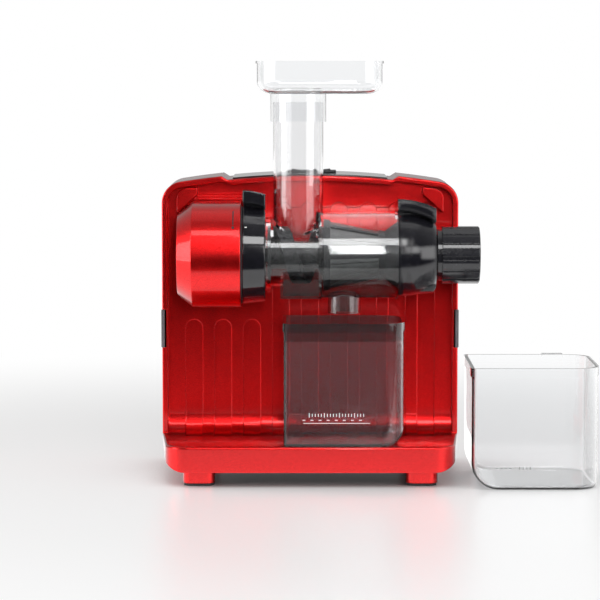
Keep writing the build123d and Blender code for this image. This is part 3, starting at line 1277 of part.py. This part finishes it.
def rocker_pivot(radius, reach):
    """The line of the rocker's two pivot pins, as one round bar."""
    return rearward(0, TRIM_TOP_Z - PIVOT_DROP, radius, SWITCH_YC - reach, SWITCH_YC + reach)


# ---------------------------------------------------------------- electrical parts
def board_holes():
    return [(x, z) for x in (BOARD_X[0] + BOARD_HOLE_INSET, BOARD_X[1] - BOARD_HOLE_INSET)
            for z in (BOARD_Z[0] + BOARD_HOLE_INSET, BOARD_Z[1] - BOARD_HOLE_INSET)]


def control_board():
    """The circuit board, with its relay, driver and connector."""
    board = block(BOARD_X, (BOARD_Y, BOARD_Y + BOARD_T), BOARD_Z)
    middle = (BOARD_X[0] + BOARD_X[1]) / 2
    for x, height, z in (RELAY, DRIVER, PLUG):
        board = board + block((middle + x[0], middle + x[1]), (BOARD_Y - height, BOARD_Y),
                              (BOARD_Z[1] + z[0], BOARD_Z[1] + z[1]))
    return board


def run_capacitor():
    """The motor's capacitor, standing on the bottom cover."""
    x = BODY_HALF_W - CAPACITOR_SIDE
    top = INSIDE_Z + CAPACITOR_L
    can = upright(x, CAPACITOR_Y, CAPACITOR_R, INSIDE_Z, top)
    can = fillet(can.edges().group_by(Axis.Z)[-1], CAPACITOR_EDGE_R)
    tag = Pos(0, CAPACITOR_Y, top + TAG[2] / 2 - TAG[0]) * Box(TAG[0], TAG[1], TAG[2] + TAG[0])
    return can + Pos(x - TAG_PITCH / 2, 0, 0) * tag + Pos(x + TAG_PITCH / 2, 0, 0) * tag


def terminal_block():
    """The block that joins the mains cord's wires to the motor's."""
    top = INSIDE_Z + TERMINAL_H
    pitch = TERMINAL_L / TERMINAL_COUNT
    middle = (TERMINAL_Y[0] + TERMINAL_Y[1]) / 2
    wells = [upright(TERMINAL_X[0] + pitch * (i + 0.5), middle, pitch / 3,
                     INSIDE_Z + TERMINAL_H / 2, top) for i in range(TERMINAL_COUNT)]
    return less(block(TERMINAL_X, TERMINAL_Y, (INSIDE_Z, top)), wells)


def cord_gland():
    """The bush that the mains cord enters through."""
    back = BODY_BACK_Y
    front = back - GLAND_LENGTH
    end = back + GLAND_FLANGE_T
    flange = rearward(GLAND_XC, GLAND_Z, GLAND_FLANGE_R, back, end)
    flange = fillet(flange.edges().group_by(Axis.Y)[-1], GLAND_EDGE_R)
    body = flange + rearward(GLAND_XC, GLAND_Z, GLAND_R, front, back)
    body = body + rearward(GLAND_XC, GLAND_Z, GLAND_FLANGE_R, front, back - SHELL_WALL)
    return body - rearward(GLAND_XC, GLAND_Z, GLAND_BORE_R, front, end)


# ---------------------------------------------------------------- the nodes
NODES = {
    "front_shell": front_shell,
    "rear_shell": rear_shell,
    "bottom_cover": bottom_cover,
    "foot_blocks": foot_blocks,
    "foot_pads": foot_pads,
    "motor_pod_cover": motor_pod_cover,
    "drum_mount": drum_mount,
    "locking_ring": locking_ring,
    "drum": drum,
    "juice_screen": juice_screen,
    "screen_frame": screen_frame,
    "auger": auger,
    "end_cap": end_cap,
    "outlet_knob": outlet_knob,
    "hopper_tray": hopper_tray,
    "juice_container": juice_container,
    "pulp_container": pulp_container,
    "output_gear": output_gear,
    "output_shaft": output_shaft,
    "output_bearings": output_bearings,
    "output_seal": output_seal,
    "counter_pinion": counter_pinion,
    "counter_gear": counter_gear,
    "counter_pin": counter_pin,
    "motor_pinion": motor_pinion,
    "gearbox_case": gearbox_case,
    "gearbox_cover": gearbox_cover,
    "motor_end_bells": motor_end_bells,
    "motor_bushes": motor_bushes,
    "motor_bolts": motor_bolts,
    "stator_core": stator_core,
    "stator_windings": stator_windings,
    "rotor_core": rotor_core,
    "rotor_shaft": rotor_shaft,
    "cooling_fan": cooling_fan,
    "top_trim": top_trim,
    "switch_housing": switch_housing,
    "power_rocker": power_rocker,
    "side_latch_left": lambda: side_latch(-1),
    "side_latch_right": lambda: side_latch(1),
    "body_screws": shell_screws,
    "control_board": control_board,
    "run_capacitor": run_capacitor,
    "terminal_block": terminal_block,
    "cord_gland": cord_gland,
}


def main():
    os.makedirs("parts", exist_ok=True)
    for name, make in NODES.items():
        shape = make()
        if isinstance(shape, list):
            shape = Compound([solid for piece in shape for solid in piece.solids()])
        export_step(shape, f"parts/{name}.step")


main()
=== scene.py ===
from math import pi, radians

import bpy
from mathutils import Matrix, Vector


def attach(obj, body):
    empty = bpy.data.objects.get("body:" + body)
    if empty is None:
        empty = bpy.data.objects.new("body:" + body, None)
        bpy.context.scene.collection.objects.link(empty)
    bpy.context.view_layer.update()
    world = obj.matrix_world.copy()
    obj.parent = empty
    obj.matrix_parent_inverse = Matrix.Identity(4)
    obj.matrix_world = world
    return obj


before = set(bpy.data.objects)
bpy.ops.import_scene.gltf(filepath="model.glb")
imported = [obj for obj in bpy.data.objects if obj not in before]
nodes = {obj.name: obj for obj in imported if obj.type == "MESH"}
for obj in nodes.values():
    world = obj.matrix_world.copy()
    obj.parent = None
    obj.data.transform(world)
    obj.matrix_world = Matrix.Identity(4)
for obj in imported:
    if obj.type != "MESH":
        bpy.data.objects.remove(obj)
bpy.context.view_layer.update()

# Lengths are in metres, angles in degrees and brightness in shares of white paper.
DRUM_Y, DRUM_Z = -0.042, 0.213     # the drum's axis
WHITE = (1.0, 1.0, 1.0, 1.0)

LENS_MM = 160.8
SENSOR_MM = 36.0
VIEW_FROM = (-0.0096, -2.561, 0.394)
VIEW_DOWN = 5.075
NEAREST, FARTHEST = 0.05, 50.0     # what the camera sees lies between these distances

FILL = 0.45                        # light from all round
ROOM_GLOW = (0.06, 0.55)           # the room that gloss mirrors, in front and behind
ROOM_Y = (-0.85, 0.6)              # directions between which that room grows lighter

FLOOR_SIZE = 12.0
FLOOR_MIDDLE = (0.0, 2.0, 0.0)
FLOOR_ROUGHNESS = 0.32
UNSEEN_SHADE = 0.80                # the floor that throws light back at the object
SEEN_SHADE = 0.40                  # the floor in view, which also glows
# Painted light and shade: the floor glows though it is no lamp, and its glow dims under things as
# a painted shadow.
FLOOR_GLOW = 0.42
FLOOR_MIRRORED = 1.5               # the floor that gloss mirrors
SHADE_REACH = 0.16                 # how far things above the floor darken it
SEEN_OPENNESS = (0.10, 0.85)       # share of open sky at which its glow starts and is full
MIRRORED_OPENNESS = (0.05, 0.50)
WHITE_FROM = (0.35, 1.1)           # distances over which the floor turns to pure white
MIRRORED_FROM = (-0.45, -0.37)     # Y over which the mirrored floor begins

MARK_DEPTH = 0.0001
MARK_CUTS = 8                      # divisions that let a mark follow a curved wall
SMOOTH_BELOW = 35


def deselect():
    bpy.ops.object.select_all(action="DESELECT")


# ------------------------------------------------------------------ studio
def lamp(name, place, aim, width, height, glow):
    """A softbox; glow is how bright its face is, where 1 is white paper."""
    light = bpy.data.lights.new(name, "AREA")
    light.shape = "RECTANGLE"
    light.size = width
    light.size_y = height
    light.energy = glow * pi * width * height
    holder = bpy.data.objects.new(name, light)
    bpy.context.scene.collection.objects.link(holder)
    holder.location = place
    holder.rotation_mode = "QUATERNION"
    holder.rotation_quaternion = (Vector(aim) - Vector(place)).to_track_quat("-Z", "Y")


def camera():
    """A long lens a little above the object, and plain colours."""
    view = bpy.data.cameras.new("camera")
    view.lens = LENS_MM
    view.sensor_width = SENSOR_MM
    view.clip_start = NEAREST
    view.clip_end = FARTHEST
    holder = bpy.data.objects.new("camera", view)
    bpy.context.scene.collection.objects.link(holder)
    holder.location = VIEW_FROM
    holder.rotation_euler = (radians(90.0 - VIEW_DOWN), 0.0, 0.0)
    bpy.context.scene.camera = holder
    bpy.context.scene.view_settings.view_transform = "Standard"
    bpy.context.scene.view_settings.look = "None"


def softboxes():
    """Soft lamps in front, at both sides and above; the strip draws the line on the drum."""
    middle = (0.0, DRUM_Y, DRUM_Z)
    lamp("drum_softbox", (0.18, -1.51, 1.42), middle, 0.54, 0.60, 8.0)
    lamp("pod_softbox", (-0.21, -1.05, 1.55), (-0.09, DRUM_Y, DRUM_Z), 0.25, 0.34, 5.0)
    lamp("strip_softbox", (0.088, -1.95, 0.82), middle, 0.084, 0.77, 18.0)
    lamp("key_softbox", (0.95, -2.35, 1.0), (0.05, 0.0, 0.2), 1.0, 0.8, 4.2)
    lamp("left_softbox", (-1.3, -0.45, 0.5), (0.0, -0.1, 0.15), 0.6, 1.0, 5.5)
    lamp("right_softbox", (1.3, -0.9, 0.4), (0.1, -0.1, 0.15), 1.1, 0.9, 3.0)
    lamp("top_softbox", (0.0, 0.25, 1.9), (0.0, 0.1, 0.1), 1.6, 1.0, 0.3)


def ray_kinds(tree):
    """Two shares: of rays from the viewer, also through clear things, and of mirrored rays."""
    path = tree.nodes.new("ShaderNodeLightPath")
    either = tree.nodes.new("ShaderNodeMath")
    either.operation = "MAXIMUM"
    tree.links.new(path.outputs["Is Camera Ray"], either.inputs[0])
    tree.links.new(path.outputs["Is Transmission Ray"], either.inputs[1])
    return either.outputs[0], path.outputs["Is Glossy Ray"]


def blend_shaders(tree, share, first, second):
    """The first shader where share is 0 and the second where it is 1."""
    mix = tree.nodes.new("ShaderNodeMixShader")
    tree.links.new(share, mix.inputs["Fac"])
    tree.links.new(first, mix.inputs[1])
    tree.links.new(second, mix.inputs[2])
    return mix.outputs[0]


def set_range(node, source, target):
    """Makes a Map Range node take the span source to the span target."""
    node.inputs["From Min"].default_value, node.inputs["From Max"].default_value = source
    node.inputs["To Min"].default_value, node.inputs["To Max"].default_value = target


def surroundings():
    """White behind, soft fill all round, and a dark room in front for gloss to mirror."""
    world = bpy.data.worlds.new("studio")
    bpy.context.scene.world = world
    world.use_nodes = True
    tree = world.node_tree
    tree.nodes.clear()

    def glow(strength):
        made = tree.nodes.new("ShaderNodeBackground")
        made.inputs["Color"].default_value = WHITE
        made.inputs["Strength"].default_value = strength
        return made

    fill = glow(FILL)
    room = glow(1.0)
    place = tree.nodes.new("ShaderNodeTexCoord")
    parts = tree.nodes.new("ShaderNodeSeparateXYZ")
    fade = tree.nodes.new("ShaderNodeMapRange")
    set_range(fade, ROOM_Y, ROOM_GLOW)
    tree.links.new(place.outputs["Generated"], parts.inputs["Vector"])
    tree.links.new(parts.outputs["Y"], fade.inputs["Value"])
    tree.links.new(fade.outputs["Result"], room.inputs["Strength"])
    seen, mirrored = ray_kinds(tree)
    unseen = blend_shaders(tree, mirrored, fill.outputs[0], room.outputs[0])
    output = tree.nodes.new("ShaderNodeOutputWorld")
    tree.links.new(blend_shaders(tree, seen, unseen, glow(1.0).outputs[0]),
                   output.inputs["Surface"])


def floor():
    """A white table top that keeps the object's shadow and adds a painted shadow; gloss mirrors
    only its near part, which glows as painted light.
    """
    deselect()
    bpy.ops.mesh.primitive_plane_add(size=FLOOR_SIZE, location=FLOOR_MIDDLE)
    sheet = bpy.context.object
    sheet.name = "floor"
    bpy.ops.object.transform_apply(location=True)
    material = bpy.data.materials.new("floor")
    material.use_nodes = True
    tree = material.node_tree
    tree.nodes.clear()

    def matt(shade):
        made = tree.nodes.new("ShaderNodeBsdfPrincipled")
        made.inputs["Base Color"].default_value = (shade, shade, shade, 1.0)
        made.inputs["Roughness"].default_value = FLOOR_ROUGHNESS
        return made.outputs[0]

    def ramp(source, span):
        made = tree.nodes.new("ShaderNodeMapRange")
        made.interpolation_type = "SMOOTHSTEP"
        set_range(made, span, (0.0, 1.0))
        tree.links.new(source, made.inputs["Value"])
        return made.outputs["Result"]

    def glow(strength, share=None):
        made = tree.nodes.new("ShaderNodeEmission")
        made.inputs["Strength"].default_value = strength
        if share:
            scaled = tree.nodes.new("ShaderNodeMath")
            scaled.operation = "MULTIPLY"
            scaled.inputs[1].default_value = strength
            tree.links.new(share, scaled.inputs[0])
            tree.links.new(scaled.outputs[0], made.inputs["Strength"])
        return made.outputs[0]

    place = tree.nodes.new("ShaderNodeTexCoord").outputs["Object"]
    parts = tree.nodes.new("ShaderNodeSeparateXYZ")
    tree.links.new(place, parts.inputs["Vector"])
    away = tree.nodes.new("ShaderNodeVectorMath")
    away.operation = "LENGTH"
    tree.links.new(place, away.inputs[0])
    # Painted shadow: the floor's glow dims where things above it close off the open sky.
    openness = tree.nodes.new("ShaderNodeAmbientOcclusion")
    openness.samples = 8
    openness.inputs["Distance"].default_value = SHADE_REACH
    seen_sky = ramp(openness.outputs["AO"], SEEN_OPENNESS)
    mirrored_sky = ramp(openness.outputs["AO"], MIRRORED_OPENNESS)
    white = matt(UNSEEN_SHADE)
    lit = tree.nodes.new("ShaderNodeAddShader")
    tree.links.new(matt(SEEN_SHADE), lit.inputs[0])
    tree.links.new(glow(FLOOR_GLOW, seen_sky), lit.inputs[1])
    far = ramp(away.outputs["Value"], WHITE_FROM)
    table = blend_shaders(tree, far, lit.outputs[0], glow(1.0))
    # Painted light: the near floor glows for gloss to mirror, and that glow also dims under
    # things.
    near = ramp(parts.outputs["Y"], MIRRORED_FROM)
    mirror = blend_shaders(tree, near, glow(0.0), glow(FLOOR_MIRRORED, mirrored_sky))
    seen, mirrored = ray_kinds(tree)
    unseen = blend_shaders(tree, mirrored, white, mirror)
    output = tree.nodes.new("ShaderNodeOutputMaterial")
    tree.links.new(blend_shaders(tree, seen, unseen, table), output.inputs["Surface"])
    sheet.data.materials.append(material)


# ------------------------------------------------------------------ finishes
class Finish:
    """A material under way: its node tree, its main shader and its object coordinates."""

    def __init__(self, name):
        self.material = bpy.data.materials.new(name)
        self.material.use_nodes = True
        self.tree = self.material.node_tree
        self.shader = self.tree.nodes["Principled BSDF"]
        self.place = self.tree.nodes.new("ShaderNodeTexCoord").outputs["Object"]

    def add(self, kind, **values):
        """A node of this kind, with its sockets or its settings at the values."""
        made = self.tree.nodes.new("ShaderNode" + kind)
        for name, value in values.items():
            socket = made.inputs.get(name.replace("_", " "))
            if socket is None:
                setattr(made, name, value)
            else:
                socket.default_value = value
        return made

    def join(self, source, target):
        self.tree.links.new(source, target)

    def set(self, **values):
        """Sets inputs of the main shader."""
        for name, value in values.items():
            self.shader.inputs[name.replace("_", " ")].default_value = value

    def noise(self, scale, detail=3.0, roughness=0.55, stretch=None):
        made = self.add("TexNoise", Scale=scale, Detail=detail, Roughness=roughness)
        place = self.place
        if stretch:
            mapping = self.add("Mapping", Scale=stretch)
            self.join(place, mapping.inputs["Vector"])
            place = mapping.outputs["Vector"]
        self.join(place, made.inputs["Vector"])
        return made.outputs["Fac"]

    def cells(self, scale):
        made = self.add("TexVoronoi", Scale=scale)
        self.join(self.place, made.inputs["Vector"])
        return made

    def spread(self, source, low, high, start=0.3, end=0.7):
        """Takes source from its span start to end into the span low to high."""
        made = self.add("MapRange")
        set_range(made, (start, end), (low, high))
        self.join(source, made.inputs["Value"])
        return made.outputs["Result"]

    def ramp(self, source, first, second, start=0.3, end=0.7):
        made = self.add("ValToRGB")
        stops = ((start, first), (end, second))
        for element, (position, colour) in zip(made.color_ramp.elements, stops):
            element.position = position
            element.color = (*colour, 1.0)
        self.join(source, made.inputs["Fac"])
        return made.outputs["Color"]

    def colours(self, source, first, second, start=0.3, end=0.7):
        self.join(self.ramp(source, first, second, start, end), self.shader.inputs["Base Color"])

    def rough(self, source, low, high, start=0.3, end=0.7):
        self.join(self.spread(source, low, high, start, end), self.shader.inputs["Roughness"])

    def relief(self, *layers, soft_edge=0.0):
        """Bumps of (height source, depth in metres), over edges rounded by soft_edge."""
        normal = None
        if soft_edge:
            normal = self.add("Bevel", Radius=soft_edge, samples=6).outputs["Normal"]
        for source, depth in layers:
            bump = self.add("Bump", Strength=1.0, Distance=depth)
            self.join(source, bump.inputs["Height"])
            if normal:
                self.join(normal, bump.inputs["Normal"])
            normal = bump.outputs["Normal"]
        self.join(normal, self.shader.inputs["Normal"])
        if self.shader.inputs["Coat Weight"].default_value > 0:
            self.join(normal, self.shader.inputs["Coat Normal"])

    def let_lamps_through(self):
        """Lets lamps light what is behind the clear wall; returns the shader of its shadow."""
        output = self.tree.nodes["Material Output"]
        clear = self.add("BsdfTransparent")
        path = self.add("LightPath")
        mix = self.add("MixShader")
        self.join(path.outputs["Is Shadow Ray"], mix.inputs["Fac"])
        self.join(self.shader.outputs[0], mix.inputs[1])
        self.join(clear.outputs[0], mix.inputs[2])
        self.join(mix.outputs[0], output.inputs["Surface"])
        return clear


def red_metallic():
    """Lacquered metallic red, deeper where it is seen at a slant."""
    f = Finish("red_metallic")
    f.set(Metallic=0.94, Roughness=0.30, Coat_Weight=0.5, Coat_Roughness=0.04, Coat_IOR=1.45)
    flakes = f.cells(2600.0)
    grey = f.add("SeparateColor")
    f.join(flakes.outputs["Color"], grey.inputs["Color"])
    paint = f.ramp(grey.outputs["Red"], (0.58, 0.006, 0.007), (0.80, 0.014, 0.015), 0.1, 0.9)
    slant = f.add("LayerWeight", Blend=0.5)
    deepened = f.add("VectorMath", operation="SCALE")
    f.join(paint, deepened.inputs[0])
    f.join(f.spread(slant.outputs["Facing"], 1.0, 0.25, 0.45, 0.95), deepened.inputs["Scale"])
    f.join(deepened.outputs[0], f.shader.inputs["Base Color"])
    f.rough(f.noise(90.0, 4.0), 0.29, 0.36)
    f.relief((f.noise(420.0, 2.0), 0.00002), soft_edge=0.0012)
    return f.material


def black_gloss(name="black_gloss", soft_edge=0.0022):
    """Polished black plastic."""
    f = Finish(name)
    f.set(IOR=1.5, Coat_Weight=0.3, Coat_Roughness=0.02)
    f.colours(f.noise(140.0, 5.0), (0.006, 0.006, 0.008), (0.010, 0.010, 0.013))
    f.rough(f.noise(60.0, 6.0), 0.05, 0.10)
    f.relief((f.noise(300.0, 2.0), 0.000008), soft_edge=soft_edge)
    return f.material


def black_satin():
    """Black plastic of the ribbed knob."""
    f = Finish("black_satin")
    f.set(IOR=1.55)
    f.colours(f.noise(160.0, 5.0), (0.012, 0.012, 0.015), (0.018, 0.018, 0.021))
    f.rough(f.noise(80.0, 5.0), 0.07, 0.12)
    f.relief((f.noise(400.0, 2.0), 0.00001), soft_edge=0.0008)
    return f.material


def black_grained():
    """Black plastic with a fine moulded grain."""
    f = Finish("black_grained")
    f.set(IOR=1.48)
    f.colours(f.noise(700.0, 3.0), (0.014, 0.014, 0.016), (0.026, 0.026, 0.029))
    f.rough(f.noise(220.0, 4.0), 0.42, 0.58)
    grain = f.cells(1500.0)
    f.relief((grain.outputs["Distance"], 0.00006), soft_edge=0.0005)
    return f.material


def clear(name, tint, roughness, edge=0.85, painted_shading_tint=None, level=0.0, blend=0.01):
    """Clear plastic, edge times as light at its rims; below level it takes another tint, which
    paints shading on the lower part.
    """
    f = Finish(name)
    f.set(Transmission_Weight=1.0, IOR=1.49)
    f.rough(f.noise(55.0, 5.0), roughness, roughness + 0.03)
    f.relief((f.noise(38.0, 2.0), 0.00008))
    shadow = f.let_lamps_through()
    shadow.inputs["Color"].default_value = (*[(c + c * c) / 2 for c in tint], 1.0)
    rims = f.add("LayerWeight", Blend=0.5)
    dimmed = f.add("VectorMath", operation="SCALE")
    dimmed.inputs[0].default_value = tint
    f.join(f.spread(rims.outputs["Facing"], 1.0, edge, 0.72, 0.97), dimmed.inputs["Scale"])
    f.join(dimmed.outputs[0], f.shader.inputs["Base Color"])
    # Painted shading: the part below level takes another tint, darker or lighter than the rest.
    if painted_shading_tint:
        parts = f.add("SeparateXYZ")
        f.join(f.place, parts.inputs["Vector"])
        height = f.spread(parts.outputs["Z"], 0.0, 1.0, level - blend, level + blend)
        f.join(f.ramp(height, painted_shading_tint, tint, 0.0, 1.0), dimmed.inputs[0])
    return f.material


def steel_mesh():
    """Steel sheet with rows of fine holes."""
    f = Finish("screen_steel")
    f.set(Metallic=1.0)
    f.colours(f.noise(240.0, 4.0, stretch=(0.2, 1.0, 1.0)), (0.16, 0.16, 0.16), (0.26, 0.26, 0.26))
    f.rough(f.noise(500.0, 3.0), 0.34, 0.48)
    holes = f.add("TexVoronoi", Scale=900.0, Randomness=0.05)
    f.join(f.place, holes.inputs["Vector"])
    f.relief((holes.outputs["Distance"], 0.00012))
    return f.material


def metal(name, first, second, low, high, stretch, grain=300.0, depth=0.00002):
    """Bare metal between two colours, its roughness from low to high, its grain stretched."""
    f = Finish(name)
    f.set(Metallic=1.0)
    lines = f.noise(grain, 4.0, stretch=stretch)
    f.colours(lines, first, second)
    f.rough(f.noise(grain / 2, 4.0), low, high)
    f.relief((lines, depth), soft_edge=0.0003)
    return f.material


def moulded(name, first, second, low, high, grain=500.0, depth=0.00003):
    """Moulded plastic or rubber between two colours, its roughness from low to high."""
    f = Finish(name)
    f.set(IOR=1.47)
    f.colours(f.noise(grain / 4, 5.0), first, second)
    f.rough(f.noise(grain / 2, 4.0), low, high)
    f.relief((f.noise(grain, 3.0), depth), soft_edge=0.0004)
    return f.material


FINISHES = {
    "red": red_metallic(),
    "black_gloss": black_gloss(),
    "cap_gloss": black_gloss("cap_gloss", 0.007),
    "black_grained": black_grained(),
    "black_satin": black_satin(),
    "clear": clear("clear_plastic", (0.96, 0.965, 0.97), 0.012),
    "bin": clear("bin_plastic", (0.97, 0.975, 0.98), 0.012, 0.30),
    # Painted shade: the drum is darker below a level just above its axis.
    "drum": clear("drum_plastic", (0.91, 0.91, 0.915), 0.03, 0.80, (0.46, 0.48, 0.48),
                  DRUM_Z + 0.004, 0.018),
    # Painted reflection: the juice container is lighter below a height of 0.136 m.
    "smoke": clear("smoke_plastic", (0.34, 0.35, 0.36), 0.02, 0.45, (0.62, 0.60, 0.62), 0.136,
                   0.001),
    "auger": moulded("auger_plastic", (0.016, 0.016, 0.018), (0.030, 0.030, 0.033), 0.24, 0.36),
    "screen": steel_mesh(),
    "steel": metal("turned_steel", (0.40, 0.40, 0.42), (0.56, 0.56, 0.58), 0.22, 0.34, (1, 8, 8)),
    "zinc": metal("zinc_plate", (0.52, 0.52, 0.56), (0.68, 0.67, 0.66), 0.20, 0.32, (1, 1, 1)),
    "cast": metal("cast_aluminium", (0.42, 0.43, 0.45), (0.58, 0.58, 0.60), 0.45, 0.62,
                  (1, 1, 1), 700.0, 0.00012),
    "sintered": metal("sintered_steel", (0.14, 0.14, 0.15), (0.24, 0.24, 0.25), 0.38, 0.55,
                      (1, 1, 1), 900.0, 0.00005),
    "lamination": metal("lamination", (0.10, 0.10, 0.12), (0.24, 0.24, 0.26), 0.40, 0.55,
                        (9, 0.2, 0.2), 260.0, 0.0001),
    "copper": metal("copper_wire", (0.42, 0.13, 0.05), (0.70, 0.28, 0.12), 0.22, 0.38,
                    (9, 1, 1), 160.0, 0.0002),
    "bronze": metal("bronze", (0.42, 0.26, 0.10), (0.58, 0.38, 0.17), 0.35, 0.5, (1, 1, 1)),
    "nylon": moulded("nylon", (0.66, 0.64, 0.56), (0.78, 0.76, 0.70), 0.38, 0.5),
    "rubber": moulded("rubber", (0.012, 0.012, 0.012), (0.024, 0.024, 0.024), 0.65, 0.85,
                      900.0, 0.0001),
    "latch": moulded("latch_grey", (0.10, 0.09, 0.10), (0.14, 0.13, 0.14), 0.32, 0.42),
    "print": moulded("pale_print", (0.62, 0.60, 0.61), (0.70, 0.68, 0.69), 0.3, 0.42, 900.0),
    "print_grey": moulded("grey_print", (0.20, 0.20, 0.21), (0.28, 0.28, 0.29), 0.3, 0.42, 900.0),
    "board": moulded("board_green", (0.006, 0.07, 0.03), (0.012, 0.11, 0.05), 0.25, 0.4, 900.0),
    "capacitor": moulded("capacitor_white", (0.66, 0.66, 0.63), (0.74, 0.74, 0.72), 0.3, 0.42),
}

# Which nodes each finish is on.
WEARS = {
    "red": ["front_shell", "rear_shell", "motor_pod_cover", "foot_blocks"],
    "black_gloss": ["locking_ring", "top_trim"],
    "cap_gloss": ["end_cap"],
    "black_satin": ["outlet_knob"],
    "black_grained": ["bottom_cover", "drum_mount", "switch_housing", "power_rocker",
                      "cooling_fan", "terminal_block", "cord_gland", "screen_frame"],
    "clear": ["hopper_tray"],
    "bin": ["pulp_container"],
    "drum": ["drum"],
    "smoke": ["juice_container"],
    "auger": ["auger"],
    "screen": ["juice_screen"],
    "steel": ["output_shaft", "output_bearings", "counter_pin", "rotor_shaft"],
    "zinc": ["body_screws", "motor_bolts"],
    "cast": ["gearbox_case", "gearbox_cover", "motor_end_bells"],
    "nylon": ["counter_gear"],
    "sintered": ["output_gear", "counter_pinion", "motor_pinion"],
    "lamination": ["stator_core", "rotor_core"],
    "copper": ["stator_windings"],
    "bronze": ["motor_bushes"],
    "rubber": ["foot_pads", "output_seal"],
    "latch": ["side_latch_left", "side_latch_right"],
    "board": ["control_board"],
    "capacitor": ["run_capacitor"],
}


# ------------------------------------------------------------------ marks
def pad(centre, width, height):
    """A small upright plate, divided so that it can follow a curved wall."""
    deselect()
    bpy.ops.mesh.primitive_plane_add(size=1.0, location=centre, rotation=(radians(90), 0.0, 0.0))
    plate = bpy.context.object
    plate.scale = (width, height, 1.0)
    bpy.ops.object.transform_apply(location=True, rotation=True, scale=True)
    bpy.ops.object.mode_set(mode="EDIT")
    bpy.ops.mesh.subdivide(number_cuts=MARK_CUTS)
    bpy.ops.object.mode_set(mode="OBJECT")
    return plate


def lay_on(plates, name, wall, body, finish):
    """Joins plates, lays them on the wall behind them and gives them a depth."""
    deselect()
    for plate in plates:
        plate.select_set(True)
    bpy.context.view_layer.objects.active = plates[0]
    if len(plates) > 1:
        bpy.ops.object.join()
    mark = bpy.context.object
    mark.name = name
    press = mark.modifiers.new("press", "SHRINKWRAP")
    press.target = nodes[wall]
    press.wrap_method = "PROJECT"
    press.use_project_y = True
    press.use_project_z = False
    press.use_positive_direction = True
    press.use_negative_direction = False
    press.offset = MARK_DEPTH
    bpy.ops.object.modifier_apply(modifier="press")
    thick = mark.modifiers.new("thick", "SOLIDIFY")
    thick.thickness = 2 * MARK_DEPTH
    thick.offset = -1.0
    bpy.ops.object.modifier_apply(modifier="thick")
    bpy.ops.object.mode_set(mode="EDIT")
    bpy.ops.mesh.select_all(action="SELECT")
    bpy.ops.mesh.normals_make_consistent(inside=False)
    bpy.ops.object.mode_set(mode="OBJECT")
    bpy.ops.object.shade_smooth_by_angle(angle=radians(SMOOTH_BELOW))
    dress(mark, finish)
    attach(mark, body)


def alignment_marks():
    """A line and a dot on the pod, and a line on the ring that meets it when locked."""
    ahead = -0.13
    line = pad((-0.0719, ahead, 0.2495), 0.0011, 0.0125)
    dot = pad((-0.0719, ahead, 0.2412), 0.0022, 0.0022)
    lay_on([line, dot], "pod_mark", "motor_pod_cover", "base", "black_grained")
    dash = pad((-0.0600, ahead, 0.2412), 0.0022, 0.0009)
    lay_on([dash], "ring_mark", "locking_ring", "ring", "capacitor")


def graduations():
    """Plain ticks on the front walls of both containers."""
    def row(count, start, pitch, ahead, height, width, tall, fifth=None):
        """Pads side by side, of which each fifth one may be of another height."""
        talls = [fifth if fifth and i % 5 == 0 else tall for i in range(count)]
        return [pad((start + pitch * i, ahead, height), width, talls[i]) for i in range(count)]

    ahead = -0.13
    ticks = row(19, -0.001, 0.0028, ahead, 0.0675, 0.0008, 0.0028, fifth=0.0042)
    ticks += row(8, -0.006, 0.0075, ahead, 0.0628, 0.0026, 0.0009)
    ticks.append(pad((0.0245, ahead, 0.0600), 0.0620, 0.0006))
    lay_on(ticks, "juice_scale", "juice_container", "juice_bin", "print")
    ahead = -0.14
    ticks = row(4, 0.172, 0.0042, ahead, 0.0205, 0.0024, 0.0008)
    ticks += row(4, 0.193, 0.0034, ahead, 0.0205, 0.0009, 0.0026)
    lay_on(ticks, "pulp_scale", "pulp_container", "pulp_bin", "print_grey")


def dress(piece, finish):
    piece.data.materials.clear()
    piece.data.materials.append(FINISHES[finish])


for finish, names in WEARS.items():
    for name in names:
        dress(nodes[name], finish)

alignment_marks()
graduations()
camera()
softboxes()
surroundings()
floor()
